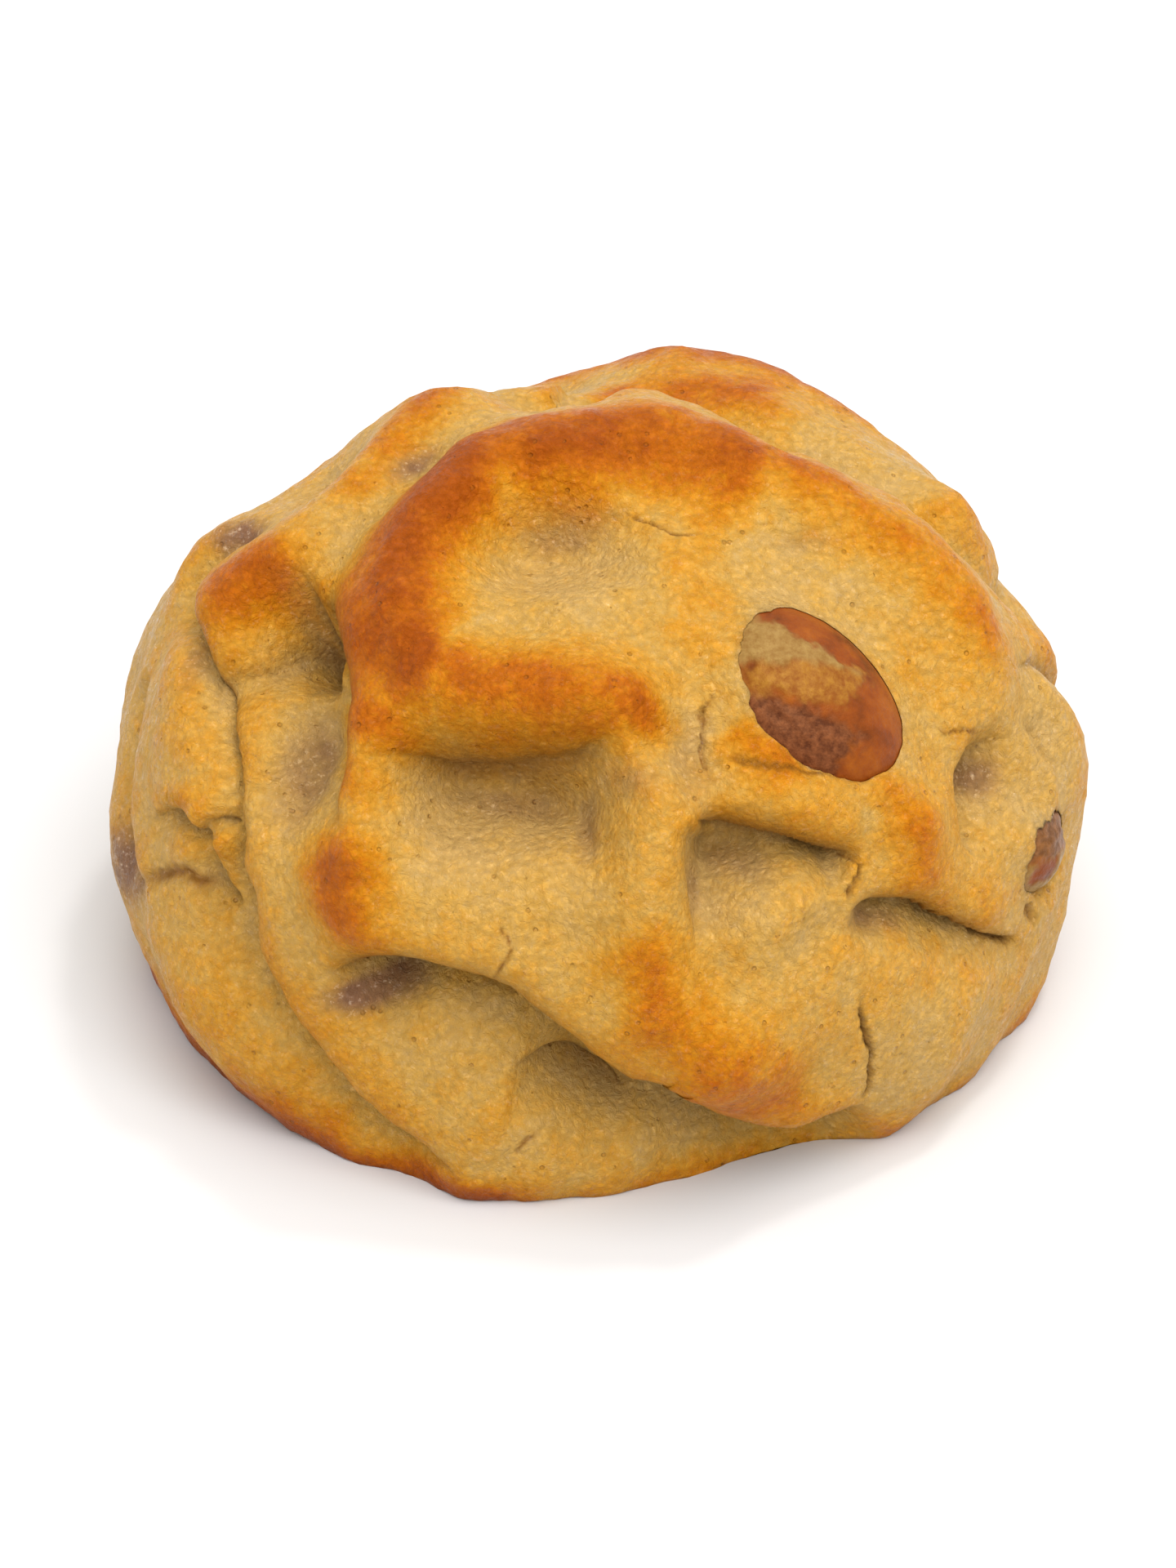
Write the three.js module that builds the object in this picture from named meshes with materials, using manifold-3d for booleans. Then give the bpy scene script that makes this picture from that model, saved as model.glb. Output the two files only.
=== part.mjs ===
// A filled cookie: a lumpy round of short dough, wrapped in folds round a bean filling and baked.
// Millimetres, +Z up, the shown side towards -Y. It stands on its flat underside at z = 0.
import * as THREE from "three";
import { mergeVertices } from "three/addons/utils/BufferGeometryUtils.js";
import Module from "manifold-3d";

const solids = await Module();
solids.setup();

// The plain round that the dough was shaped from: a dome over a fuller, squarer belly.
const HALF_WIDTH = 34.4;
const HALF_DEPTH = 33;
const BELLY_HEIGHT = 15;
const DOME_RISE = 26.5;
const BELLY_DROP = 27;
const DOME_POWER = 2;
const BELLY_POWER = 3;
// The mesh is finer towards the side that is shown: its rays start this far behind the middle.
const MESH_DETAIL = 19;
const FINER_TOWARDS = new THREE.Vector3(0, -0.16, 0.14);

// Places on the dough are read off the picture plane of someone looking down on it at this angle:
// millimetres across to the right, and millimetres up from the middle of the underside. `side` is
// how far that person has walked round it, in degrees, to the right from the shown side.
const LOOKING_DOWN = THREE.MathUtils.degToRad(35);
const UP = new THREE.Vector3(0, 0, 1);
const PATH_STEPS = 5;
const ROLL_UNION_POWER = 4;
const FOLD_WALL = 2.4;
const LIP_WIDTH = 2.6;

// Rolls: long rounded crests of dough, each along a path. `fade` is the share of the path over
// which it rises at its start and sinks at its end.
const ROLLS = {
  front_flap_crest: {
    path: [[-8.1, 35.2], [-4.6, 34.2], [-0.9, 35.2], [2.1, 36.2], [5.9, 35.7], [10.1, 33.6], [14.1, 31.8],
      [17.9, 29.4], [21.9, 26.6], [25.7, 23.5], [28, 19.8], [28, 15.6]],
    wide: 3.8, high: 3.2, fade: [0.12, 0.2],
  },
  top_hollow_rim: {
    path: [[-8.4, 34.5], [-10.1, 30.8], [-12.8, 27], [-13.8, 23.5], [-13, 20.6], [-10.6, 18.6],
      [-7.5, 17.7], [-4, 17.3], [-0.6, 17.2], [3, 16.8], [6.2, 15.4]],
    wide: 4, high: 2.9, fade: [0.1, 0.25],
  },
  pocket_rim: {
    path: [[-13.4, 20.5], [-13.8, 15.4], [-14.2, 11.4], [-15.4, 7.5], [-18, 4.1]],
    wide: 3.2, high: 1.6, fade: [0.2, 0.2],
  },
  middle_roll: {
    path: [[4.8, 13], [4.3, 10], [3, 5.8], [2.3, 1.3], [2.9, -3.8], [6.2, -8], [11.4, -10]],
    wide: 3.4, high: 1.8, fade: [0.35, 0.2],
  },
  kernel_rim: {
    path: [[7.5, 12.6], [10, 11], [13.4, 9.9], [17, 9.6], [20.6, 10.2], [23, 7.8], [24.8, 4.3]],
    wide: 2.8, high: 1.5, fade: [0.4, 0.2],
  },
  dent_ridge: {
    path: [[18.2, 5], [15.4, 4.2], [13, 2.8], [12, 0.4], [12.4, -3]],
    wide: 2.8, high: 1.6, fade: [0.2, 0.4],
  },
  upper_left_roll: {
    path: [[-6.7, 37], [-9.9, 36.6], [-13.4, 34.4], [-16.5, 31.2], [-18.7, 28.2], [-21.4, 26.2],
      [-24.4, 24.4], [-25.6, 21.6], [-25.2, 18], [-24, 13]],
    wide: 3.6, high: 3, fade: [0.1, 0.45],
  },
  back_flap_crest: {
    path: [[-1.8, 41.1], [1.8, 42.5], [5.9, 43.1], [10.1, 42.1], [14.8, 39.9], [19.5, 36.9], [24.2, 34.5],
      [28, 31.2]],
    wide: 6, high: 1.2, fade: [0.14, 0.2],
  },
  back_roll: {
    side: 175,
    path: [[-26, 9], [-15, 14], [-5, 15], [6, 12], [16, 13], [26, 7]],
    wide: 4.4, high: 2.2, fade: [0.2, 0.2],
  },
  back_cross_roll: {
    side: 175,
    path: [[-1, 17], [-5, 13], [-6, 7], [-3, 0], [2, -7]],
    wide: 4.2, high: 2, fade: [0.2, 0.25],
  },
};

// Swells and hollows: rounded lumps and fingertip dents. `flat` is the share of each that is a
// level middle, and `lean` makes it that much stronger at its upper end and weaker at its lower.
const SWELLS = {
  tongue: { at: [13.4, -8], long: 9, short: 6.5, turn: -25, high: 1.6, flat: 0.1 },
  browned_knee: { at: [-18.2, 3.2], long: 6, short: 5, turn: -40, high: 1.7, flat: 0.1 },
  right_cheek: { at: [23.1, -6.4], long: 13, short: 10, turn: 40, high: 1, flat: 0.1 },
  right_brow_bump: { at: [23.6, 7], long: 5, short: 3.6, turn: -60, high: 0.9, flat: 0 },
  left_shoulder: { at: [-26.9, 26.5], long: 5, short: 4, turn: 40, high: 1.2, flat: 0.1 },
  left_flank: { at: [-30.2, 15], long: 9, short: 4.5, turn: 95, high: 1.4, flat: 0.2 },
  left_foot: { at: [-26.6, -7], long: 17, short: 8, turn: -46, high: 2.3, flat: 0.2 },
  right_foot: { at: [25.6, -8], long: 12, short: 7, turn: 50, high: 0.9, flat: 0.2 },
  right_flank: { at: [33, 11.5], long: 14, short: 8, turn: 90, high: 1.2, flat: 0.2 },
  right_shoulder: { at: [32.4, 18.8], long: 6, short: 5, turn: 90, high: 1.2, flat: 0.1 },
  front_foot: { at: [-4, -15], long: 14, short: 6, turn: 0, high: 0.8, flat: 0.2 },
  brown_bump: { at: [2, 16.2], long: 4, short: 2.8, turn: 0, high: 0.7, flat: 0 },
  kernel_swell: { at: [15.9, 16.4], long: 9.5, short: 7.5, turn: -45, high: 0.9, flat: 0.3 },
  right_hump: { at: [26.4, 29.4], long: 6, short: 4.5, turn: -50, high: 1.7, flat: 0.1 },
  back_left_lump: { side: 175, at: [-20, -2], long: 10, short: 8, turn: 30, high: 1.1, flat: 0.1 },
  back_right_lump: { side: 175, at: [17, 2], long: 9, short: 7, turn: -20, high: 0.9, flat: 0.1 },
};
const HOLLOWS = {
  top: { at: [-3.4, 25.8], long: 8.6, short: 6.6, turn: 0, deep: 1.8, flat: 0.2, lean: 0.5 },
  upper_right: { at: [14.4, 27.2], long: 6, short: 3.6, turn: -20, deep: 1.1, flat: 0, lean: 0.2 },
  middle_left: { at: [-7.8, 7.6], long: 8.6, short: 6.6, turn: -3, deep: 1.2, flat: 0.3, lean: 0.2 },
  beside_wall: { at: [0.4, 7.4], long: 2.4, short: 5.4, turn: 0, deep: 0.9, flat: 0, lean: 0.3 },
  middle_right: { at: [9.2, 4.6], long: 4, short: 5.6, turn: 0, deep: 1.4, flat: 0.2, lean: 0.3 },
  right: { at: [28.4, 11], long: 5, short: 4.4, turn: 0, deep: 1.8, flat: 0.2, lean: 0.3 },
  left_pocket: { at: [-20.4, 12.8], long: 5.4, short: 9, turn: 0, deep: 2.2, flat: 0.4, lean: 0.3 },
  pocket_throat: { at: [-18.9, 20.6], long: 3.4, short: 3.4, turn: 0, deep: 4, flat: 0, lean: 0 },
  grey_pocket: { at: [-14.8, -2.9], long: 4.4, short: 2.4, turn: -10, deep: 2.6, flat: 0, lean: 0 },
  under_flap: { at: [-0.4, -10], long: 8, short: 2.8, turn: -25, deep: 2, flat: 0, lean: 0 },
  upper_left_notch: { side: -134, at: [0, 11], long: 13, short: 10, turn: 0, deep: 3.4, flat: 0.3, lean: 0 },
  crown_notch: { side: -160, at: [0, 15], long: 9, short: 8, turn: 0, deep: 2.2, flat: 0.2, lean: 0 },
  right_notch: { at: [30.2, 24], long: 4.4, short: 3.4, turn: -50, deep: 1.6, flat: 0, lean: 0 },
  side_hole: { at: [31.2, 6.6], long: 4.4, short: 2.8, turn: 35, deep: 1.8, flat: 0.2, lean: 0 },
  back_left_dent: { side: 175, at: [-15, 10], long: 7, short: 5, turn: 10, deep: 2.2, flat: 0.2, lean: 0.4 },
  back_right_dent: { side: 175, at: [8, 9], long: 6, short: 5, turn: 0, deep: 2, flat: 0.2, lean: 0.4 },
};

// Grooves: long soft valleys.
const GROOVES = {
  upper_left_channel: {
    path: [[-9.6, 35.4], [-11.6, 32], [-14.6, 28.6], [-17, 25.5]],
    wide: 2.2, deep: 1.7, fade: [0.2, 0.2],
  },
};

// Folds: an edge of dough that lies over what is beyond it. The low side is on the right hand of
// someone who walks the path. It drops over the fold wall's width and climbs back over its reach.
const FOLDS = {
  front_flap_back: {
    path: [[30.4, 17], [29.9, 20.2], [27.6, 24.4], [23.2, 28.1], [18.5, 31.2], [14.7, 33.6], [10.6, 35.2],
      [6.4, 36.9], [2.3, 37.7], [-0.9, 37], [-5.2, 36], [-9, 36.9]],
    drop: 3.6, reach: 4.6, lip: 0.2, fade: [0.22, 0.15],
  },
  pocket_wall: {
    path: [[-18.2, 24.4], [-17.3, 21.6], [-16.9, 17.7], [-16.8, 13.9], [-16.8, 10.4], [-16.4, 7]],
    drop: 2.4, reach: 4, lip: 0.3, fade: [0.1, 0.5],
  },
  left_lobe: {
    path: [[-22.8, 28.2], [-26.3, 26.5], [-27.9, 24.2], [-27.5, 21.8], [-26.4, 18.4], [-25.5, 14],
      [-24.4, 8.6], [-23, 5.2]],
    drop: 2.4, reach: 3.6, lip: 0.9, fade: [0.2, 0.1],
  },
  lobe_underside: {
    path: [[-26.8, 20.4], [-24.6, 19.4], [-21.8, 19.2], [-19.9, 20], [-17.8, 22.4]],
    drop: 2.2, reach: 7, lip: 0.4, fade: [0.3, 0.1],
  },
  apron: {
    path: [[-24, 7.5], [-23.5, 3], [-23.2, -0.6], [-21.4, -4.7], [-19.3, -7.7], [-16.4, -10.9],
      [-12.2, -14.5], [-7.5, -16.5]],
    drop: 2.9, reach: 7, lip: 0.9, fade: [0.1, 0.12],
  },
  front_flap: {
    path: [[-17.8, -1.6], [-13.6, -1.4], [-10.7, -1.7], [-8.3, -2.4], [-6.1, -3.3], [-3, -6], [0, -8.4],
      [3.6, -9.9], [7, -12.5], [10.9, -13.4], [14.7, -12.7], [18.1, -10.4], [18.9, -7.6], [18, -3.4]],
    drop: 3.4, reach: 5, lip: 1, fade: [0.12, 0.25],
  },
  ledge: {
    path: [[-8, -7], [-5.6, -6.8], [-3, -7.4], [0, -9]],
    drop: 1.4, reach: 3.4, lip: 0.5, fade: [0.3, 0.3],
  },
  middle_left_brow: {
    path: [[-15.6, 12.4], [-12, 13], [-8, 13.2], [-4, 13.1], [-0.4, 12.9], [2.6, 13.4]],
    drop: 2.6, reach: 6, lip: 0.4, fade: [0.2, 0.2],
  },
  middle_left_wall: {
    path: [[-1, 12.6], [-1.2, 8.1], [-1.6, 3.6]],
    drop: 1.2, reach: 3.6, lip: 0.3, fade: [0.2, 0.35],
  },
  middle_right_brow: {
    path: [[6, 7.8], [9, 8.6], [11.8, 8.1], [14.3, 7.1], [17.6, 5.8]],
    drop: 2.5, reach: 3.2, lip: 0.6, fade: [0.12, 0.2],
  },
  middle_right_wall: {
    path: [[6.6, -1], [6.2, 2.4], [6.2, 5.4], [6.6, 8.2]],
    drop: 1, reach: 2.6, lip: 0.3, fade: [0.4, 0.15],
  },
  right_brow: {
    path: [[15, 1.6], [19.3, 2.7], [23.4, 1.7], [26.8, 0.6], [29.8, -0.7]],
    drop: 2, reach: 3, lip: 0.6, fade: [0.3, 0.2],
  },
  right_dent_wall: {
    path: [[25, 7], [25.2, 10], [26, 13.2]],
    drop: 1, reach: 3, lip: 0.3, fade: [0.3, 0.3],
  },
  left_crinkle: {
    path: [[-31.2, 8.4], [-28.2, 8.8], [-26.2, 5.7], [-24.7, 3.7], [-23, 2.6]],
    drop: 1.4, reach: 3, lip: 0.4, fade: [0.3, 0.1],
  },
  left_strip: {
    path: [[-32.6, 17.5], [-33.5, 11.5], [-33.9, 8.2], [-33.2, 4], [-30.6, 0.6]],
    drop: 0.9, reach: 3, lip: 0.3, fade: [0.2, 0.4],
  },
  right_strip: {
    path: [[33, 2.5], [33.6, 8.5], [32.3, 12.6], [30.2, 15.8]],
    drop: 0.9, reach: 3, lip: 0.3, fade: [0.4, 0.2],
  },
  back_flap: {
    side: 175,
    path: [[-29, 18], [-22, 9], [-12, 3], [0, -1], [11, -6], [20, -9], [29, -6]],
    drop: 2.8, reach: 5, lip: 0.6, fade: [0.2, 0.2],
  },
  back_lower_fold: {
    side: 120,
    path: [[-22, 12], [-14, 2], [-10, -8], [-12, -15]],
    drop: 2.2, reach: 5, lip: 0.6, fade: [0.25, 0.1],
  },
};

// Slow unevenness of hand-shaped dough: waves through it, `every` so many millimetres.
const WAVES = [
  { along: [0.8, 0.5, 0.3], every: 23, high: 0.22, start: 0.6 },
  { along: [-0.4, 0.7, 0.6], every: 17, high: 0.2, start: 2.1 },
  { along: [0.6, -0.2, 0.8], every: 12.5, high: 0.15, start: 4 },
  { along: [-0.7, -0.6, 0.4], every: 9.3, high: 0.12, start: 1.3 },
  { along: [0.2, 0.9, -0.5], every: 7.1, high: 0.1, start: 5.2 },
  { along: [0.9, 0.1, -0.4], every: 5.7, high: 0.07, start: 3.3 },
];

// The beans of the filling that are seen, each half length by half width by half thickness. `sunk`
// is how deep its middle lies under the plain round, and `bend` how far its ends curl to one side.
const BEANS = {
  bean_top: { at: [15.7, 17.1], half: [7.3, 5.2, 4.2], turn: -52, sunk: 1.8, bend: 0.5 },
  bean_side: { at: [31.4, 6.2], half: [5.5, 4, 3.4], turn: 45, sunk: 3.3, bend: 0.4 },
};
const BEAN_DETAIL = 7;
const BEAN_GAP = 0.3;

const MIDDLE = new THREE.Vector3(0, 0, BELLY_HEIGHT);

// How far the plain round reaches from its middle in a direction.
function roundReach(way) {
  const above = way.z > 0;
  const power = above ? DOME_POWER : BELLY_POWER;
  const rise = above ? DOME_RISE : BELLY_DROP;
  const level = Math.hypot(way.x / HALF_WIDTH, way.y / HALF_DEPTH);
  return (level ** power + Math.abs(way.z / rise) ** power) ** (-1 / power);
}

// The picture of someone at a side of the cookie: the way to them, and the picture's own up.
function pictureFrom(side) {
  const turned = THREE.MathUtils.degToRad(side);
  const towards = new THREE.Vector3(0, -Math.cos(LOOKING_DOWN), Math.sin(LOOKING_DOWN));
  const up = new THREE.Vector3(0, Math.sin(LOOKING_DOWN), Math.cos(LOOKING_DOWN));
  return {
    towards: towards.applyAxisAngle(UP, turned),
    up: up.applyAxisAngle(UP, turned),
    right: new THREE.Vector3(1, 0, 0).applyAxisAngle(UP, turned),
  };
}

// The direction from the middle to the place on the round that lies at a point of the picture.
function seen([across, high], { towards, up, right }) {
  const offset = new THREE.Vector3().addScaledVector(right, across).addScaledVector(up, high).sub(MIDDLE);
  offset.addScaledVector(towards, -offset.dot(towards));
  const inside = (depth) => {
    const point = offset.clone().addScaledVector(towards, depth);
    const distance = point.length();
    return distance < roundReach(point.divideScalar(distance));
  };
  let near = 0;
  let far = 2 * HALF_WIDTH;
  if (!inside(near)) return offset.normalize();
  for (let i = 0; i < 30; i++) {
    const half = (near + far) / 2;
    if (inside(half)) near = half;
    else far = half;
  }
  return offset.addScaledVector(towards, near).normalize();
}

function onRound(way) {
  return way.clone().multiplyScalar(roundReach(way)).add(MIDDLE);
}

// The plain round's outward normal, by small steps either way.
function roundNormal(way) {
  const step = 1e-3;
  const side = new THREE.Vector3(-way.y, way.x, 0);
  if (side.lengthSq() < 1e-9) side.set(1, 0, 0);
  side.normalize();
  const rise = new THREE.Vector3().crossVectors(way, side);
  const at = (a, b) =>
    onRound(way.clone().addScaledVector(side, a).addScaledVector(rise, b).normalize());
  const alongSide = at(step, 0).sub(at(-step, 0));
  const alongRise = at(0, step).sub(at(0, -step));
  const normal = alongSide.cross(alongRise).normalize();
  return normal.dot(way) < 0 ? normal.negate() : normal;
}

// A smooth line laid on the round through the path's points.
function layLine({ path, side = 0, ...rest }) {
  const picture = pictureFrom(side);
  const points = path.map((point) => onRound(seen(point, picture)));
  const curve = new THREE.CatmullRomCurve3(points, false, "catmullrom", 0.5);
  const line = curve
    .getPoints((path.length - 1) * PATH_STEPS)
    .map((point) => onRound(point.sub(MIDDLE).normalize()));
  return { line, ...rest };
}

// A lump's place on the round, with the arrows of its length, its width and the way out.
function layLump({ at, turn, side = 0, ...rest }) {
  const picture = pictureFrom(side);
  const way = seen(at, picture);
  const out = roundNormal(way);
  const along = new THREE.Vector3().crossVectors(picture.up, out).normalize();
  along.applyAxisAngle(out, THREE.MathUtils.degToRad(turn));
  const aside = new THREE.Vector3().crossVectors(out, along);
  return { centre: onRound(way), along, aside, out, ...rest };
}

const laid = (features, lay) => Object.values(features).map(lay);
const rolls = laid(ROLLS, layLine);
const grooves = laid(GROOVES, layLine);
const folds = laid(FOLDS, layLine);
const swells = laid(SWELLS, layLump);
const hollows = laid(HOLLOWS, layLump);

// Distance from a point to a laid line, negative on its left hand, and the share of it walked.
function fromLine(line, point, normal) {
  let best = { distance: Infinity, walked: 0 };
  const leg = new THREE.Vector3();
  const reach = new THREE.Vector3();
  for (let i = 0; i + 1 < line.length; i++) {
    leg.subVectors(line[i + 1], line[i]);
    reach.subVectors(point, line[i]);
    const share = THREE.MathUtils.clamp(reach.dot(leg) / leg.lengthSq(), 0, 1);
    const right = leg.clone().cross(normal).dot(reach) < 0 ? -1 : 1;
    const distance = reach.addScaledVector(leg, -share).length();
    if (distance < Math.abs(best.distance))
      best = { distance: right * distance, walked: (i + share) / (line.length - 1) };
  }
  return best;
}

const { smoothstep } = THREE.MathUtils;
const ending = (walked, [first, last]) => smoothstep(walked, 0, first) * smoothstep(1 - walked, 0, last);

function rollShare({ line, wide, fade }, point, normal) {
  const { distance, walked } = fromLine(line, point, normal);
  return ending(walked, fade) * Math.exp(-((distance / wide) ** 2));
}

function foldHeight({ line, drop, reach, lip, fade }, point, normal) {
  const { distance, walked } = fromLine(line, point, normal);
  const down = smoothstep(distance, -FOLD_WALL / 2, FOLD_WALL / 2);
  const edge = lip * (1 - down) * Math.exp(-((distance / LIP_WIDTH) ** 2));
  const beyond = drop * down * Math.exp(-((Math.max(distance, 0) / reach) ** 2));
  return ending(walked, fade) * (edge - beyond);
}

// A lump's share of its height at a point, from 1 over its flat middle to 0 at its rim.
function lumpShare({ centre, along, aside, long, short, flat, lean = 0 }, point) {
  const offset = point.clone().sub(centre);
  const upward = offset.dot(aside) / short;
  const away = Math.hypot(offset.dot(along) / long, upward);
  const sameSide = offset.length() < 2 * Math.max(long, short);
  return sameSide ? (1 + lean * upward) * (1 - smoothstep(away, flat, 1)) : 0;
}

function waveHeight({ along: [x, y, z], every, high, start }, point) {
  const steps = (point.x * x + point.y * y + point.z * z) / every;
  return high * Math.sin(2 * Math.PI * steps + start);
}

// How far the shaped dough stands off the plain round at a point of it.
function relief(point, normal) {
  const total = (features, height) => features.reduce((sum, feature) => sum + height(feature), 0);
  const crest = total(rolls, (r) => (r.high * rollShare(r, point, normal)) ** ROLL_UNION_POWER);
  const swelling = total(swells, (s) => s.high * lumpShare(s, point));
  const dents = total(hollows, (h) => h.deep * lumpShare(h, point));
  const valleys = total(grooves, (g) => g.deep * rollShare(g, point, normal));
  const folded = total(folds, (f) => foldHeight(f, point, normal));
  const uneven = total(WAVES, (w) => waveHeight(w, point));
  return crest ** (1 / ROLL_UNION_POWER) + swelling - dents - valleys + folded + uneven;
}

// A ball of small triangles whose corners share their vertices.
function ball(detail) {
  const geometry = new THREE.IcosahedronGeometry(1, detail);
  geometry.deleteAttribute("normal");
  geometry.deleteAttribute("uv");
  return mergeVertices(geometry, 1e-5);
}

// A fine ball pushed out to the round and its relief, and cut off flat at the underside.
function doughSkin() {
  const skin = ball(MESH_DETAIL);
  const vertices = skin.getAttribute("position");
  const way = new THREE.Vector3();
  for (let i = 0; i < vertices.count; i++) {
    way.fromBufferAttribute(vertices, i).normalize().add(FINER_TOWARDS).normalize();
    const point = onRound(way);
    const normal = roundNormal(way);
    point.addScaledVector(normal, relief(point, normal));
    vertices.setXYZ(i, point.x, point.y, Math.max(point.z, 0));
  }
  return skin;
}

// A bean laid in the dough, or with a gap the pocket that it lies in.
function beanSkin(bean, gap = 0) {
  const { centre, along, aside, out, half, sunk, bend } = layLump(bean);
  const [halfLength, halfWidth, halfThickness] = half;
  const skin = ball(BEAN_DETAIL);
  const vertices = skin.getAttribute("position");
  const unit = new THREE.Vector3();
  for (let i = 0; i < vertices.count; i++) {
    unit.fromBufferAttribute(vertices, i).normalize();
    const curl = bend * (unit.x ** 2 - 0.4);
    const point = centre
      .clone()
      .addScaledVector(out, unit.z * (halfThickness + gap) - sunk)
      .addScaledVector(along, unit.x * (halfLength + gap))
      .addScaledVector(aside, unit.y * (halfWidth + gap) + curl);
    vertices.setXYZ(i, point.x, point.y, point.z);
  }
  return skin;
}

function toSolid(skin) {
  const vertProperties = new Float32Array(skin.getAttribute("position").array);
  const triVerts = new Uint32Array(skin.index.array);
  return new solids.Manifold(new solids.Mesh({ numProp: 3, vertProperties, triVerts }));
}

function toSkin(solid) {
  const { vertProperties, triVerts, numProp } = solid.getMesh();
  const skin = new THREE.BufferGeometry();
  const vertices = new Float32Array((vertProperties.length / numProp) * 3);
  for (let i = 0; i < vertices.length; i++)
    vertices[i] = vertProperties[Math.floor(i / 3) * numProp + (i % 3)];
  skin.setAttribute("position", new THREE.BufferAttribute(vertices, 3));
  skin.setIndex(new THREE.BufferAttribute(new Uint32Array(triVerts), 1));
  return skin;
}

const BAKED_DOUGH = new THREE.MeshStandardMaterial({ color: 0xd9a552, roughness: 0.6, metalness: 0 });
const BEAN_SKIN = new THREE.MeshStandardMaterial({ color: 0x8e4a2c, roughness: 0.45, metalness: 0 });

const cookie = new THREE.Group();
function addPiece(name, skin, material) {
  skin.computeVertexNormals();
  const piece = new THREE.Mesh(skin, material);
  piece.name = name;
  cookie.add(piece);
}

const pockets = Object.values(BEANS).map((bean) => toSolid(beanSkin(bean, BEAN_GAP)));
const dough = pockets.reduce((solid, pocket) => solid.subtract(pocket), toSolid(doughSkin()));
addPiece("dough", toSkin(dough), BAKED_DOUGH);
for (const [name, bean] of Object.entries(BEANS)) addPiece(name, beanSkin(bean), BEAN_SKIN);

export default cookie;
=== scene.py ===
"""A filled cookie: a lumpy round of short dough folded round a bean filling, baked and browned."""

import math

import bmesh
import bpy
import numpy as np
from mathutils import Matrix, Vector, noise


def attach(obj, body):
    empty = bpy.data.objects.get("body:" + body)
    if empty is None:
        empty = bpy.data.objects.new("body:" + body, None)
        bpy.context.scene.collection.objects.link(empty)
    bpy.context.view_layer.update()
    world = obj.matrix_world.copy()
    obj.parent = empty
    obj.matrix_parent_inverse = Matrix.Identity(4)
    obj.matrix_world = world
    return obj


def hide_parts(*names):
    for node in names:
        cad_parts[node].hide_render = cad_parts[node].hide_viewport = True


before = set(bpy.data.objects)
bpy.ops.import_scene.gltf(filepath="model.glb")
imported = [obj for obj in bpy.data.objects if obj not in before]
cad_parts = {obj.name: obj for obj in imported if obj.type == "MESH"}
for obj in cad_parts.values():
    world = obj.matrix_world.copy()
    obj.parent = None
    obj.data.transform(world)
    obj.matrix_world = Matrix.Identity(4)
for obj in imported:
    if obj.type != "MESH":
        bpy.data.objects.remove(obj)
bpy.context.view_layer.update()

# The view. The cookie stands on a pale table, and is seen from its front, 35 degrees above the
# table, with a long lens. Light comes from a wide soft window above and a little in front of it,
# and from a small lamp behind it on the right.
IMAGE_HEIGHT = 1920
PIXELS_PER_MM = 17
LOOKING_DOWN = math.radians(35)
CAMERA_DISTANCE = 0.7
PICTURE_MIDDLE = (-10, 185)
SENSOR = 36
AIM_HEIGHT = 15

picture_right = Vector((1, 0, 0))
picture_up = Vector((0, math.sin(LOOKING_DOWN), math.cos(LOOKING_DOWN)))
to_viewer = Vector((0, -math.cos(LOOKING_DOWN), math.sin(LOOKING_DOWN)))
aim = (picture_right * PICTURE_MIDDLE[0] + picture_up * PICTURE_MIDDLE[1]) / PIXELS_PER_MM
aim = (aim + to_viewer * AIM_HEIGHT * to_viewer.z) / 1000

camera_data = bpy.data.cameras.new("camera")
camera_data.sensor_width = SENSOR
camera_data.lens = SENSOR * CAMERA_DISTANCE * 1000 * PIXELS_PER_MM / IMAGE_HEIGHT
camera = bpy.data.objects.new("camera", camera_data)
camera.location = aim + to_viewer * CAMERA_DISTANCE
camera.rotation_euler = to_viewer.to_track_quat("Z", "Y").to_euler()
bpy.context.scene.collection.objects.link(camera)
bpy.context.scene.camera = camera
bpy.context.scene.view_settings.view_transform = "Standard"

TABLE_SIZE = 6
TABLE_COLOUR = (0.64, 0.64, 0.65, 1)
table_mesh = bpy.data.meshes.new("table")
table_shape = bmesh.new()
bmesh.ops.create_grid(table_shape, x_segments=1, y_segments=1, size=TABLE_SIZE / 2)
table_shape.to_mesh(table_mesh)
table_shape.free()
table = bpy.data.objects.new("table", table_mesh)
bpy.context.scene.collection.objects.link(table)
white_table = bpy.data.materials.new("white_table")
white_table.use_nodes = True
table_shader = white_table.node_tree.nodes["Principled BSDF"]
table_shader.inputs["Base Color"].default_value = TABLE_COLOUR
table_shader.inputs["Roughness"].default_value = 0.6
table_mesh.materials.append(white_table)

DAYLIGHT = (1, 0.99, 0.97)
LAMPLIGHT = (1, 0.98, 0.95)
room = bpy.data.worlds.new("room")
room.use_nodes = True
room_light = room.node_tree.nodes["Background"]
room_light.inputs["Color"].default_value = (*DAYLIGHT, 1)
room_light.inputs["Strength"].default_value = 0.96
bpy.context.scene.world = room


def add_sun(name, strength, softness, comes_from, tint):
    """A light from far off. `softness` is how many degrees wide it looks from the table."""
    light = bpy.data.lights.new(name, "SUN")
    light.energy = strength
    light.angle = math.radians(softness)
    light.color = tint
    sun = bpy.data.objects.new(name, light)
    sun.rotation_euler = Vector(comes_from).to_track_quat("Z", "Y").to_euler()
    bpy.context.scene.collection.objects.link(sun)


add_sun("window", strength=2.66, softness=60, comes_from=(0.2, -0.4, 1), tint=DAYLIGHT)
add_sun("lamp", strength=0.6, softness=7, comes_from=(0.4, 0.4, 1.5), tint=LAMPLIGHT)

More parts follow.
